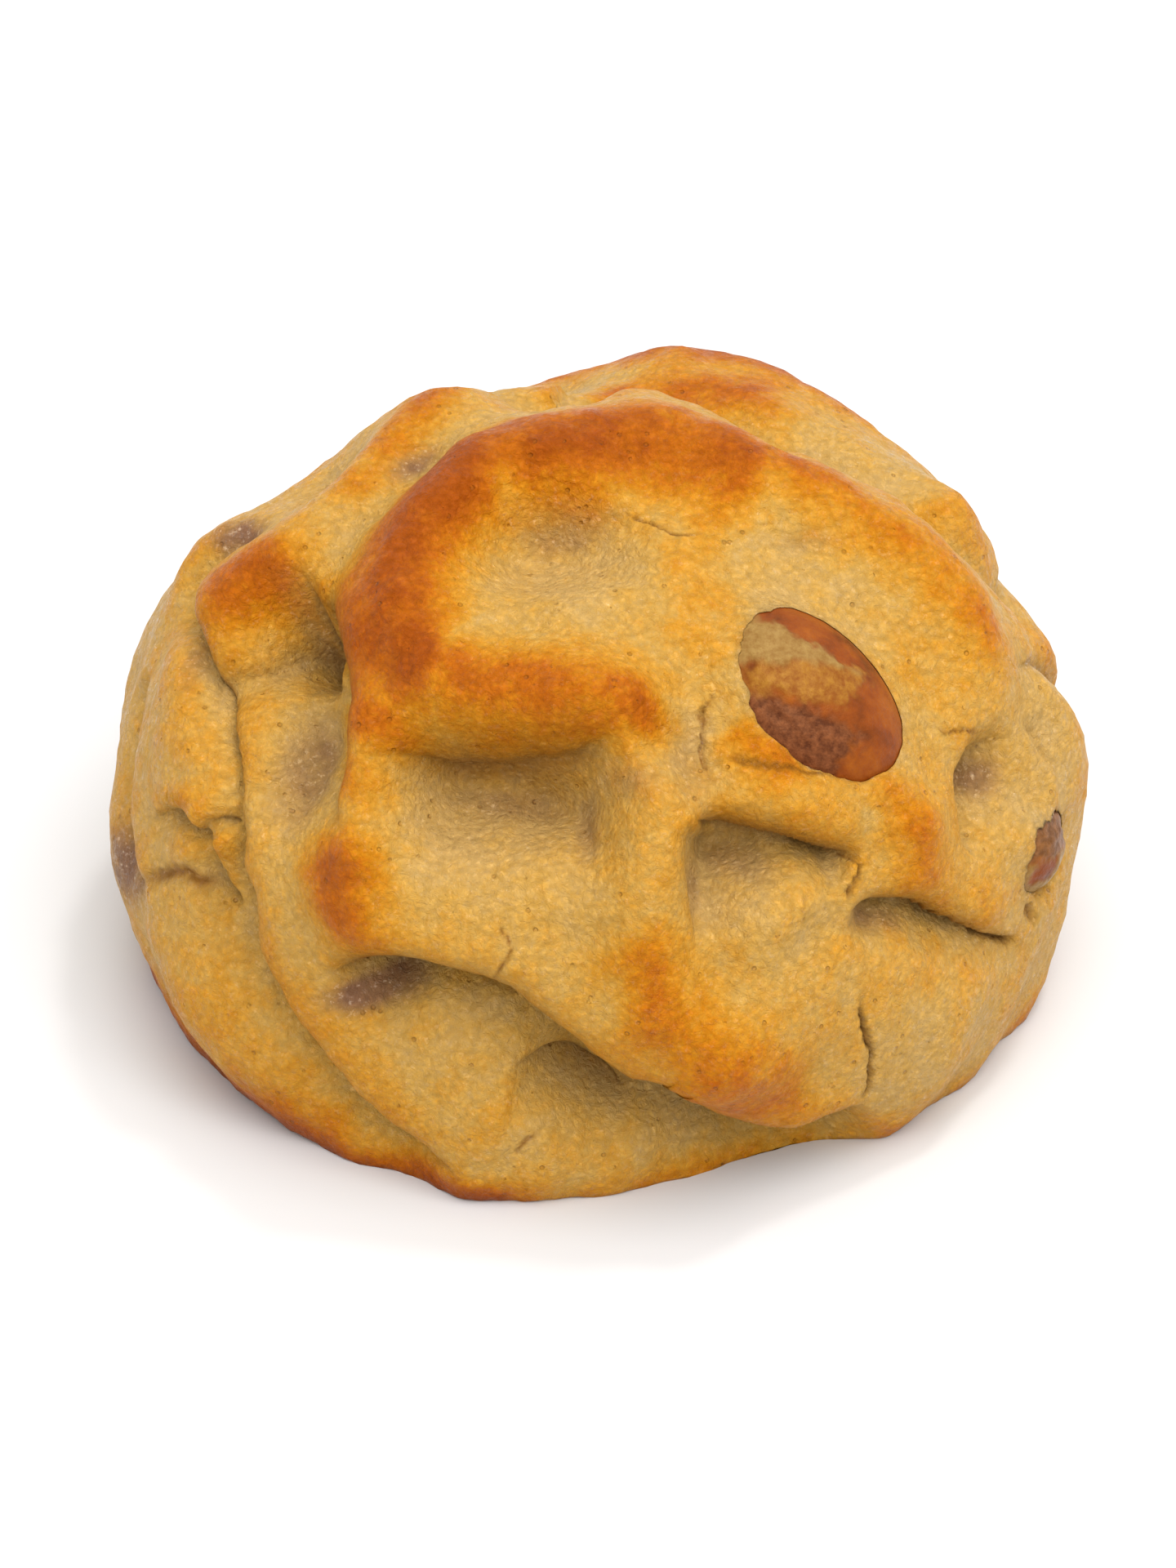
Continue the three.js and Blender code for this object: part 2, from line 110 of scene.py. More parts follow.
# The dough. Short dough, pressed out, gathered round a ball of sweet beans in overlapping folds,
# patted into a round, brushed with egg and baked. It is one piece: its dents, rolls and flaps are
# its own surface. All its sizes are in millimetres until it is made a mesh.
HALF_WIDTH = 34.4
HALF_DEPTH = 33
BELLY_HEIGHT = 15
DOME_RISE = 26.5
BELLY_DROP = 27
DOME_POWER = 2
BELLY_POWER = 3
MIDDLE = np.array([0, 0, BELLY_HEIGHT])
TINY = 1e-6


def dome_or_belly(height):
    """The power and the rise of the plain round at each height over its middle: a dome above it
    and a belly below, where a higher power makes a squarer curve."""
    above = height > 0
    return np.where(above, DOME_POWER, BELLY_POWER), np.where(above, DOME_RISE, BELLY_DROP)


def round_reach(way):
    """How far the plain round under all the folds reaches from its middle, in each direction."""
    power, rise = dome_or_belly(way[:, 2])
    level = np.hypot(way[:, 0] / HALF_WIDTH, way[:, 1] / HALF_DEPTH)
    return (level ** power + np.abs(way[:, 2] / rise) ** power) ** (-1 / power)


def unit(arrows):
    return arrows / np.linalg.norm(arrows, axis=-1, keepdims=True)


def on_round(way):
    return MIDDLE + way * round_reach(way)[:, None]


def round_normal(way):
    point = on_round(way) - MIDDLE
    power, rise = dome_or_belly(point[:, 2])
    level = np.hypot(point[:, 0] / HALF_WIDTH, point[:, 1] / HALF_DEPTH)
    sideways = np.maximum(level, TINY) ** (power - 2)
    upward = np.abs(point[:, 2] / rise) ** (power - 1) * np.sign(point[:, 2]) / rise
    rightward = sideways * point[:, 0] / HALF_WIDTH ** 2
    backward = sideways * point[:, 1] / HALF_DEPTH ** 2
    return unit(np.stack([rightward, backward, upward], axis=1))


# Places on the dough are read off the picture of someone who looks down on it at 35 degrees:
# millimetres to the right, and millimetres up from the middle of the underside. `side` is how far
# that person has walked round it to the right, in degrees.
def picture_from(side):
    turned = Matrix.Rotation(math.radians(side), 3, "Z")
    return [np.array(turned @ arrow) for arrow in (picture_right, picture_up, to_viewer)]


HALVINGS = 30


def seen(places, side=0, rise=0):
    """The directions from the middle to the places, on the side that is seen. `rise` is how far
    above the plain round the dough is at each. The depth of each place is halved in on."""
    right, up, near = picture_from(side)
    places = np.array(places, float)
    offset = places[:, :1] * right + places[:, 1:] * up - MIDDLE
    offset = offset - (offset @ near)[:, None] * near
    low = np.zeros(len(places))
    high = np.full(len(places), 2.0 * HALF_WIDTH)
    for _ in range(HALVINGS):
        depth = (low + high) / 2
        point = offset + depth[:, None] * near
        distance = np.linalg.norm(point, axis=1)
        inside = distance < round_reach(point / distance[:, None]) + rise
        low = np.where(inside, depth, low)
        high = np.where(inside, high, depth)
    return unit(offset + low[:, None] * near)


# Rolls: long rounded crests, each along a path. `wide` is from the path to where the crest has
# fallen to a third. `fade` is the share of the path over which it rises at its start and sinks at
# its end: a fifth each where it isn't given, here and for all that runs along a path. Rolls that
# meet join at ROLL_UNION_POWER, and a higher power keeps a sharper valley between them.
ROLLS = {
    "front_flap_crest": dict(
        path=[(-9.1, 35.9), (-5.3, 35.3), (-1.8, 35.3), (1.2, 36.3), (4.1, 36.6), (7.1, 35.7),
              (10, 34.1), (12.4, 32.8), (15.9, 31.4), (19.4, 29.3), (22.9, 27), (25.9, 24.6),
              (27.7, 21.4), (28.4, 17.9), (28.4, 14.6)],
        wide=4.4, high=3.4, fade=(0.06, 0.2)),
    "top_hollow_rim": dict(
        path=[(-6, 36), (-8.4, 34.6), (-10.4, 31.8), (-13, 29), (-14.4, 25.8), (-14.4, 22.6),
              (-12.9, 19.6), (-10, 17.6), (-5.3, 16.8), (-0.6, 16.8), (3.5, 16.4), (6, 15)],
        wide=4, high=3.9, fade=(0.06, 0.2)),
    "pocket_rim": dict(
        path=[(-15.2, 20.5), (-15.4, 15.4), (-15.4, 11.4), (-16.4, 7.5), (-18.6, 3.6)],
        wide=3, high=2.4),
    "between_hollows": dict(
        path=[(5, 31), (7, 26.5), (7.4, 22), (6.6, 17)], wide=3, high=0.9, fade=(0.3, 0.3)),
    "middle_roll": dict(
        path=[(6, 14), (4.9, 10.4), (4.1, 5.6), (3.5, 0.3), (4.1, -4.6), (7.4, -8), (12.4, -9.4),
              (15.6, -8)],
        wide=3.4, high=2.9, fade=(0.25, 0.25)),
    "bean_rim": dict(
        path=[(7.5, 12.6), (10, 11.2), (13.4, 10.2), (17, 9.9), (20.6, 10), (23.4, 7.4), (25.2, 3.8)],
        wide=2.8, high=2.1, fade=(0.4, 0.2)),
    "dent_ridge": dict(
        path=[(18, 4.6), (15.6, 4), (13, 2.4), (11, 0), (10.6, -4)],
        wide=2.6, high=2.2, fade=(0.15, 0.4)),
    "upper_left_roll": dict(
        path=[(-6.5, 38.2), (-10, 38.3), (-12.8, 36.4), (-14.9, 34), (-18.4, 30.4), (-22.4, 28),
              (-25.4, 26), (-26.4, 23.4), (-25.6, 20)],
        wide=2.7, high=3.4, fade=(0.1, 0.2)),
    "back_flap_crest": dict(
        path=[(1.8, 41.9), (5.9, 42.7), (10.1, 41.7), (14.8, 39.5), (19.5, 36.9), (24.2, 34.5),
              (28, 31.2)],
        wide=5, high=0.6, fade=(0.1, 0.2)),
    "back_roll": dict(
        side=175, path=[(-26, 9), (-15, 14), (-5, 15), (6, 12), (16, 13), (26, 7)],
        wide=4.4, high=2.2),
    "back_cross_roll": dict(
        side=175, path=[(-1, 17), (-5, 13), (-6, 7), (-3, 0), (2, -7)],
        wide=4.2, high=2, fade=(0.2, 0.25)),
}
ROLL_UNION_POWER = 4

# Swells and hollows: rounded lumps and fingertip dents. `flat` is the share of each that is a
# level middle, a tenth where it isn't given, `turn` is how far its long side is turned, in
# degrees, and `lean` makes it that much stronger at its upper end and weaker at its lower.
SWELLS = {
    "tongue": dict(at=(12.8, -6.4), long=9.4, short=7.4, turn=-25, high=1.6),
    "browned_knee": dict(at=(-18.2, 3.2), long=6, short=5, turn=-40, high=1.9),
    "right_cheek": dict(at=(23.1, -6.4), long=13, short=10, turn=40, high=1),
    "right_brow_bump": dict(at=(23.6, 7), long=5, short=3.6, turn=-60, high=0.9, flat=0),
    "above_side_hole": dict(at=(29.2, 8), long=3.4, short=2.6, turn=-30, high=1.1),
    "left_shoulder": dict(at=(-28.4, 27.6), long=5, short=4, turn=40, high=2),
    "left_flank": dict(at=(-30.2, 17), long=12, short=4.4, turn=97, high=1.1, flat=0.2),
    "left_belly": dict(at=(-34.4, 5), long=11, short=6, turn=100, high=1.3),
    "left_foot": dict(at=(-27, -6.6), long=18, short=8, turn=-46, high=2.7, flat=0.2),
    "left_crumple": dict(at=(-29.6, 6.4), long=2.6, short=2, high=0.9, flat=0.2),
    "left_crumple_low": dict(at=(-28.6, 3), long=3, short=2.2, turn=-20, high=0.9, flat=0.2),
    "base_rim": dict(at=(-13, -17), long=15, short=4.6, turn=-22, high=2.6),
    "right_foot": dict(at=(25.6, -8), long=12, short=7, turn=50, high=0.9, flat=0.2),
    "right_flank": dict(at=(34.3, 12), long=13, short=8, turn=90, high=1.4, flat=0.2),
    "right_shoulder": dict(at=(33.3, 17), long=5.4, short=5, turn=90, high=1.9),
    "front_foot": dict(at=(-4, -15), long=14, short=6, high=0.8, flat=0.2),
    "brown_bump": dict(at=(2.2, 16.4), long=3.8, short=2.8, high=0.8, flat=0),
    "bean_swell": dict(at=(15.9, 16.4), long=9.5, short=7.5, turn=-45, high=0.9, flat=0.3),
    "right_hump": dict(at=(27.8, 29.6), long=6, short=4.8, turn=-50, high=4.6),
    "pocket_panel": dict(at=(-24, 11.8), long=2.4, short=7, turn=6, high=1.6),
    "back_left_lump": dict(side=175, at=(-20, -2), long=10, short=8, turn=30, high=1.1),
    "back_right_lump": dict(side=175, at=(17, 2), long=9, short=7, turn=-20, high=0.9),
}
HOLLOWS = {
    "top": dict(at=(-3.4, 26), long=8.2, short=6.4, high=3.2, flat=0.2, lean=0.4),
    "upper_right": dict(at=(14, 27.8), long=6, short=3.8, turn=-20, high=1.4, flat=0, lean=0.2),
    "middle_left": dict(
        at=(-7.8, 9.8), long=8.2, short=5.8, turn=-3, high=2.1, flat=0.45, lean=0.4),
    "beside_wall": dict(at=(0, 7), long=2.4, short=5.4, high=1.1, flat=0, lean=0.2),
    "middle_right": dict(at=(9.4, 5.4), long=4.4, short=5, high=1.8, flat=0.3, lean=0.4),
    "crease_mouth": dict(at=(18.4, 1.2), long=4.4, short=2.2, turn=-10, high=1.2, flat=0),
    "right": dict(at=(27.3, 10.8), long=4, short=4, high=3, flat=0.3, lean=0.3),
    "left_pocket": dict(at=(-20.4, 13.4), long=4.2, short=7.6, high=3, flat=0.4, lean=0.2),
    "pocket_throat": dict(at=(-19.4, 22.4), long=3, short=3, high=2.6, flat=0.2),
    "shoulder_notch": dict(at=(-18.8, 32.4), long=5, short=4, turn=40, high=2.2),
    "middle_left_corner": dict(at=(-3.2, 10.4), long=3.4, short=3.6, high=1.6, flat=0.2),
    "right_edge": dict(at=(31.6, 22.2), long=4, short=3.4, turn=-50, high=1.9),
    "valley": dict(at=(6.8, 12.4), long=3, short=5, high=1.3, flat=0),
    "left_edge": dict(at=(-33, 19.6), long=4, short=4, high=1.8),
    "grey_pocket": dict(at=(-14.9, -3.3), long=4.4, short=2.6, turn=-8, high=2),
    "under_flap": dict(at=(0.2, -10.4), long=8, short=3.4, turn=-25, high=4.2),
    "upper_left_notch": dict(side=-134, at=(0, 11), long=13, short=9, high=3.6, flat=0.3),
    "crown_notch": dict(side=-160, at=(-3.4, 16), long=9, short=8, high=3.2, flat=0.2),
    "right_notch": dict(at=(29.4, 24.6), long=4, short=3.2, turn=-50, high=1.6, flat=0),
    "side_hole": dict(at=(31.4, 5.6), long=3.4, short=2.4, turn=35, high=1.2, flat=0.2),
    "back_left_dent": dict(
        side=175, at=(-15, 10), long=7, short=5, turn=10, high=2.2, flat=0.2, lean=0.4),
    "back_right_dent": dict(side=175, at=(8, 9), long=6, short=5, high=2, flat=0.2, lean=0.4),
    "left_back_dent": dict(side=-105, at=(-4, 7), long=9, short=5, turn=30, high=1.2, lean=0.4),
}
GROOVES = {
    "upper_left_channel": dict(
        path=[(-10.8, 38.1), (-11.8, 33.8), (-14.7, 30.9), (-17.1, 27.9), (-18.8, 25.5)],
        wide=1.9, high=3.6),
}

# Folds: an edge of dough that lies over what is beyond it. The low side is on the right hand of
# someone who walks the path. The edge is round over `curve`, falls by its drop at the path and
# hangs over by `hang`, and `lip` swells it before it falls. The dough below climbs back over
# `reach`. A path is where the edge is seen: LIP_SHARE of the drop below its crest, or the share
# that `foot_seen` says.
FOLDS = {
    "front_flap_back": dict(
        path=[(30.5, 18.5), (29.4, 22.6), (27.6, 25.6), (24.7, 28.2), (21.8, 30), (18.1, 32.1),
              (14.7, 34.3), (12.2, 34.8), (10, 36.2), (7.1, 37.9), (4.1, 38.8), (0.6, 38.4),
              (-1.8, 37.4), (-5.3, 37.4), (-7.6, 38.2)],
        drop=4.2, reach=4.6, curve=3, hang=0.3, fade=(0.15, 0.15)),
    "pocket_wall": dict(
        path=[(-18.9, 24.4), (-18, 21.5), (-17.4, 18.5), (-17.2, 15.6), (-17.3, 12.6), (-17.6, 9.4),
              (-17, 7)],
        drop=4.4, reach=4.4, curve=1.6, hang=1.4, fade=(0.1, 0.5)),
    "throat_wall": dict(
        path=[(-20.4, 26), (-19.2, 24), (-18.2, 21.8), (-17.6, 19.4), (-17.3, 17)],
        drop=4.4, reach=3.4, curve=1.4, hang=0.5, fade=(0.4, 0.4)),
    "left_lobe": dict(
        path=[(-22.4, 29.2), (-25.9, 27.4), (-27.6, 25.6), (-28.2, 23.5), (-28.2, 21.5),
              (-27.8, 19.1), (-27, 16.8), (-26.3, 14.4), (-25.6, 12.1), (-25.2, 10), (-24.9, 7.9),
              (-24.2, 5.6), (-23.6, 3.2)],
        drop=2.6, reach=2, lip=0.4, curve=1.8, hang=1, fade=(0.15, 0.15)),
    "lobe_underside": dict(
        path=[(-26.2, 18.2), (-24, 18.4), (-21.8, 19), (-19.6, 20.3), (-17.8, 22)],
        drop=3.4, reach=5, curve=4.6, hang=0.2, foot_seen=1, fade=(0.55, 0.1)),
    "apron": dict(
        path=[(-24.3, 7.5), (-23.9, 3), (-23.5, -0.6), (-21.8, -4.9), (-19.5, -8.2), (-16.8, -11.2),
              (-13.4, -14.2), (-8.4, -16.4)],
        drop=3, reach=5, lip=0.6, curve=2.2, hang=0.9, fade=(0.1, 0.16)),
    "front_flap": dict(
        path=[(-18.4, -2.2), (-15.4, -1.3), (-12.4, -1.5), (-9.4, -2.5), (-7, -3.2), (-4.6, -4.8),
              (-1.6, -7.1), (1.8, -9), (4.4, -9.9), (6.9, -11.5), (10, -12.7), (13.2, -13),
              (16, -12), (18.4, -10.6)],
        drop=5.6, reach=5.5, lip=0.8, curve=2.6, hang=1.3, fade=(0.1, 0.12)),
    "ledge": dict(
        path=[(-6, -8.4), (-4.4, -7.9), (-2.8, -7.9), (-1, -8.6), (1, -9.6), (3.2, -10.9)],
        drop=2.4, reach=3.2, lip=0.2, curve=1.2, hang=0.6, fade=(0.3, 0.3)),
    "middle_left_brow": dict(
        path=[(-16, 12.4), (-12, 12.7), (-8, 12.8), (-4, 12.8), (-1, 13), (2, 14.2)],
        drop=4, reach=6, curve=3.6, hang=0.7, fade=(0.3, 0.25)),
    "middle_left_wall": dict(
        path=[(-0.2, 12.6), (-0.4, 8.6), (-0.2, 4.4)],
        drop=1.5, reach=3.4, curve=3, hang=0, foot_seen=1, fade=(0.4, 0.4)),
    "middle_right_brow": dict(
        path=[(6.4, 8.1), (8.8, 8.3), (11.6, 7.6), (14.2, 6.7), (16.4, 6.1), (18, 5.9)],
        drop=3.8, reach=4, lip=0.2, curve=1.6, hang=1, fade=(0.15, 0.2)),
    "middle_right_wall": dict(
        path=[(7, -1), (6.6, 2.4), (6.4, 5.4), (6.6, 8.2)],
        drop=2.2, reach=3, curve=2, hang=0.2, fade=(0.4, 0.15)),
    "right_brow": dict(
        path=[(16.8, 2.2), (19.3, 2.8), (22, 2.4), (24.6, 1.2), (27, 0.3), (30, -0.7)],
        drop=3.6, reach=3.4, lip=0.2, curve=1.6, hang=1.2, fade=(0.25, 0.35)),
    "right_dent_wall": dict(
        path=[(26.4, 5), (25.6, 8), (25.2, 11), (26.2, 13.6), (29, 14.4)],
        drop=2.8, reach=3, curve=1.8, hang=0.2, fade=(0.3, 0.3)),
    "left_crinkle": dict(
        path=[(-31.8, 8.5), (-29.1, 8.9), (-28.1, 8.2), (-27.1, 6.9), (-26.8, 5.6), (-25.9, 4.1),
              (-24.1, 2.6)],
        drop=2, reach=1.7, lip=0.5, curve=0.9, hang=0.6, fade=(0.2, 0.1)),
    "left_finger": dict(
        path=[(-27.4, 7.9), (-26.6, 8.5), (-25.6, 8.6), (-24.8, 8.2)],
        drop=1.1, reach=1.6, lip=0.4, curve=0.7, hang=0.4, fade=(0.3, 0.3)),
    "left_strip": dict(
        path=[(-31.6, 19), (-31.9, 16.8), (-32.6, 12), (-32.8, 8), (-32, 4), (-30.5, 1)],
        drop=1.9, reach=3, lip=0.2, curve=1.6, hang=0.4, fade=(0.2, 0.4)),
    "right_strip": dict(
        path=[(33, 2.5), (33.6, 8.5), (32.3, 12.6), (30.2, 15.8)],
        drop=1, reach=3, lip=0.2, curve=1.2, hang=0.3, fade=(0.4, 0.2)),
    "back_flap": dict(
        side=175, path=[(-29, 18), (-22, 9), (-12, 3), (0, -1), (11, -6), (20, -9), (29, -6)],
        drop=3, reach=5, lip=0.4, curve=2.2, hang=0.8),
    "back_lower_fold": dict(
        side=120, path=[(-22, 12), (-14, 2), (-10, -8), (-12, -15)],
        drop=2.4, reach=5, lip=0.4, curve=2, hang=0.6, fade=(0.25, 0.1)),
}
EDGE_ROUNDNESS = 0.98
LIP_SHARE = 0.3

# Cracks: short splits where the dough dried and tore, as wide as a hair or two and `high` deep.
CRACKS = {
    "beside_tongue": dict(
        path=[(18.2, -3.2), (18.7, -5.8), (19.1, -8.1), (19.2, -10.1), (18.6, -11.2)],
        wide=0.15, high=0.9, fade=(0.3, 0.1)),
    "brow_end": dict(
        path=[(17.1, 6.2), (18, 5.3), (17.5, 4), (17.2, 2.6)],
        wide=0.14, high=0.5, fade=(0.1, 0.2)),
    "right_brow_end": dict(
        path=[(26, 0.9), (28, 0.5), (29.6, -0.5)], wide=0.35, high=1.2, fade=(0.2, 0.1)),
    "nick": dict(
        path=[(30.2, 1.5), (30.9, 1.4), (31.5, 1.2)], wide=0.25, high=0.8, fade=(0.3, 0.3)),
    "above_middle": dict(
        path=[(7.4, 17.4), (7, 16.2), (7.2, 14.4), (7.6, 12), (7.9, 11)], wide=0.1, high=0.28),
    "right_of_bean": dict(
        path=[(23.6, 14.9), (25, 14.6), (27.6, 14.8)], wide=0.13, high=0.2, fade=(0.3, 0.3)),
    "top_crackle": dict(
        path=[(1.4, 30.2), (3.6, 29.2), (5.6, 28.2), (7.6, 28.6)],
        wide=0.12, high=0.25, fade=(0.3, 0.3)),
    "lower_crackle": dict(
        path=[(-6.2, 1.8), (-6.6, 0.7), (-6, -0.4), (-6.6, -1.5), (-6.3, -2.7)],
        wide=0.11, high=0.2, fade=(0.3, 0.3)),
    "apron_crease": dict(
        path=[(-3.9, -13.1), (-5, -14.4), (-6.1, -15.8)], wide=0.12, high=0.12, fade=(0.4, 0.4)),
    "left_crease": dict(
        path=[(-32.4, 4.2), (-30.8, 4.5), (-29.2, 4.7), (-27.6, 4.3), (-26.6, 3.9)],
        wide=0.5, high=0.45, fade=(0.3, 0.2)),
    "below_bean": dict(
        path=[(8.6, 13), (10, 12.2), (12.4, 11.2), (15.6, 10.7), (18.8, 10.9)],
        wide=0.2, high=0.35, fade=(0.3, 0.3)),
}

# Slow unevenness of hand-shaped dough: waves through it, `every` so many millimetres.
WAVES = [
    dict(along=(0.8, 0.5, 0.3), every=23, high=0.22, start=0.6),
    dict(along=(-0.4, 0.7, 0.6), every=17, high=0.2, start=2.1),
    dict(along=(0.6, -0.2, 0.8), every=12.5, high=0.15, start=4),
    dict(along=(-0.7, -0.6, 0.4), every=9.3, high=0.12, start=1.3),
    dict(along=(0.2, 0.9, -0.5), every=7.1, high=0.1, start=5.2),
    dict(along=(0.9, 0.1, -0.4), every=5.7, high=0.07, start=3.3),
]

PLACING_ROUNDS = 4
LINE_STEPS = 5


def place_on(places, side, surface, lower=0):
    """The directions to places that are seen on the raised surface, given as its directions and its
    heights. `lower` is how far below it they are."""
    rise = np.zeros(len(places))
    for _ in range(PLACING_ROUNDS):
        way = seen(places, side, rise)
        nearest = np.argmax(way @ surface[0].T, axis=1)
        rise = (rise + surface[1][nearest] - lower) / 2
    return way


def lay_line(surface, path, side=0, fade=(0.2, 0.2), **rest):
    """A smooth line on the round through a path's places, in a few steps from each to the next."""
    lower = rest.get("foot_seen", LIP_SHARE) * rest.get("drop", 0)
    places = on_round(place_on(path, side, surface, lower))
    first, last = 2 * places[0] - places[1], 2 * places[-1] - places[-2]
    knots = np.vstack([first, places, last])
    points = [places[0]]
    for a, b, c, d in zip(knots, knots[1:], knots[2:], knots[3:]):
        for step in range(1, LINE_STEPS + 1):
            t = step / LINE_STEPS
            bend = (2 * a - 5 * b + 4 * c - d) * t ** 2 + (3 * b - a - 3 * c + d) * t ** 3
            points.append((2 * b + (c - a) * t + bend) / 2)
    return dict(rest, fade=fade, line=on_round(unit(np.array(points) - MIDDLE)))


def lay_lump(surface, at, turn=0, side=0, flat=0.1, **rest):
    """A lump's place on the round, with the arrows of its length, its width and the way out."""
    way = place_on([at], side, surface)
    out = round_normal(way)[0]
    along = unit(np.cross(picture_from(side)[1], out))
    along = np.array(Matrix.Rotation(math.radians(turn), 3, Vector(out)) @ Vector(along))
    arrows = dict(along=along, aside=np.cross(out, along), out=out)
    return dict(rest, flat=flat, centre=on_round(way)[0], **arrows)


def smooth_step(value, low, high):
    share = np.clip((value - low) / (high - low), 0, 1)
    return share * share * (3 - 2 * share)


def beside_line(points, normals, line):
    """Each point's distance from a line, negative on its left hand, the share of it walked there,
    and the arrow to its right hand."""
    best = np.full(len(points), np.inf)
    hand = np.ones(len(points))
    walked = np.zeros(len(points))
    to_right = np.zeros_like(points)
    for i, (start, end) in enumerate(zip(line, line[1:])):
        leg = end - start
        reach = points - start
        share = np.clip(reach @ leg / (leg @ leg), 0, 1)
        distance = np.linalg.norm(reach - share[:, None] * leg, axis=1)
        near = distance < best
        arrow = unit(np.cross(leg, normals[near]))
        best[near] = distance[near]
        to_right[near] = arrow
        hand[near] = np.where((arrow * reach[near]).sum(axis=1) < 0, -1, 1)
        walked[near] = (i + share[near]) / (len(line) - 1)
    return best * hand, walked, to_right


def ending(walked, fade):
    """How much is left of a line's strength, as it rises at its start and sinks at its end."""
    return smooth_step(walked, 0, fade[0]) * smooth_step(1 - walked, 0, fade[1])


def edge_fall(along):
    """How far a rounded edge has fallen, from 0 where it starts to 1 at its foot, as a quarter of
    a circle does."""
    rest = 1 - np.sqrt(1 - (EDGE_ROUNDNESS * np.clip(along, 0, 1)) ** 2)
    return rest / (1 - math.sqrt(1 - EDGE_ROUNDNESS ** 2))


def near_line(points, line, reach):
    """The numbers of the points that can lie within reach of a line."""
    middle = line.mean(axis=0)
    radius = np.linalg.norm(line - middle, axis=1).max() + reach
    return np.flatnonzero(np.linalg.norm(points - middle, axis=1) < radius)


# How far off a form still counts, as so many times its own size.
ROLL_REACH = 3
FOLD_REACH = 3
LUMP_REACH = 2


def roll_share(points, normals, roll):
    """A roll's share of its height at each point: 1 on its line, falling off to the sides."""
    share = np.zeros(len(points))
    near = near_line(points, roll["line"], ROLL_REACH * roll["wide"])
    distance, walked, _ = beside_line(points[near], normals[near], roll["line"])
    share[near] = ending(walked, roll["fade"]) * np.exp(-((distance / roll["wide"]) ** 2))
    return share


def lump_share(points, lump):
    """A lump's share of its height at each point, from 1 over its flat middle to 0 at its rim."""
    offset = points - lump["centre"]
    upward = offset @ lump["aside"] / lump["short"]
    away = np.hypot(offset @ lump["along"] / lump["long"], upward)
    same_side = np.linalg.norm(offset, axis=1) < LUMP_REACH * max(lump["long"], lump["short"])
    share = (1 + lump.get("lean", 0) * upward) * (1 - smooth_step(away, lump["flat"], 1))
    return np.where(same_side, share, 0)


def grain(points, size, seed):
    """Random unevenness between about -1 and 1, with lumps of the given size."""
    shift = Vector((seed * 17.3, seed * 5.9, seed * 11.1))
    return np.array([noise.noise(Vector(point) / size + shift) for point in points])


def spread(values, edges, steps):
    """Evens out a value over the mesh, from each point to those next to it, so many times."""
    first, second = edges
    size = len(values)
    count = np.bincount(first, minlength=size) + np.bincount(second, minlength=size)
    for _ in range(steps):
        total = np.bincount(first, values[second], size) + np.bincount(second, values[first], size)
        values = (values + total / count) / 2
    return values


# The rolls, swells and hollows are evened out over about this many millimetres.
SOFTENING = 2.6


def soft_relief(points, normals, edges, laid):
    """How far the rolls, swells, hollows, grooves and waves raise each point of the round."""
    height = np.zeros(len(points))
    for roll in laid["rolls"]:
        height += (roll["high"] * roll_share(points, normals, roll)) ** ROLL_UNION_POWER
    height = height ** (1 / ROLL_UNION_POWER)
    for swell in laid["swells"]:
        height += swell["high"] * lump_share(points, swell)
    for hollow in laid["hollows"]:
        height -= hollow["high"] * lump_share(points, hollow)
    for groove in laid["grooves"]:
        height -= groove["high"] * roll_share(points, normals, groove)
    size = np.linalg.norm(points[edges[0]] - points[edges[1]], axis=1).mean()
    height = spread(height, edges, round((SOFTENING / size) ** 2))
    for wave in WAVES:
        steps = points @ np.array(wave["along"]) / wave["every"]
        height += wave["high"] * np.sin(2 * math.pi * steps + wave["start"])
    return height


# Where across a fold's edge its parts lie, as shares of its curve: below 0 is its rounded edge, and
# above 0 is beyond its foot. EDGE_WANDER and CLOSING_GAP are in millimetres. A fold whose drop
# times its hang is FULL_CREASE_SHADE has fully dark painted shade in the crease at its foot.
LIP_CREST = -0.8
OVERHANG_STARTS = (-1.6, -0.3)
OVERHANG_ENDS = -0.15
CREASE_SHADE_WIDTH = 0.4
EDGE_WANDER = 0.22
CLOSING_GAP = 0.1
FULL_CREASE_SHADE = 4


def fold_dough(points, normals, wander, fold):
    """What one fold does to the points near it: their numbers, how far it raises each, how far it
    pushes each over and how much painted shade each takes in the crease at its foot."""
    near = near_line(points, fold["line"], FOLD_REACH * fold["reach"])
    distance, walked, to_right = beside_line(points[near], normals[near], fold["line"])
    share = ending(walked, fold["fade"])
    distance = distance + EDGE_WANDER * wander[near] + fold["hang"] * share
    curve = fold["curve"]
    down = edge_fall(distance / curve + 1)
    lip = fold.get("lip", 0) * (1 - down) * np.exp(-((distance / curve - LIP_CREST) ** 2))
    beyond = fold["drop"] * down * np.exp(-((np.maximum(distance, 0) / fold["reach"]) ** 2))
    over = smooth_step(distance, OVERHANG_STARTS[0] * curve, OVERHANG_STARTS[1] * curve)
    over *= 1 - smooth_step(distance, OVERHANG_ENDS * curve, CLOSING_GAP)
    push = (fold["hang"] * share * over)[:, None] * to_right
    shade_at_foot = share * np.exp(-((distance / (CREASE_SHADE_WIDTH * curve)) ** 2))
    crease = shade_at_foot * fold["drop"] * fold["hang"] / FULL_CREASE_SHADE
    return near, share * (lip - beyond), push, crease


LAYING_ROUNDS = 2


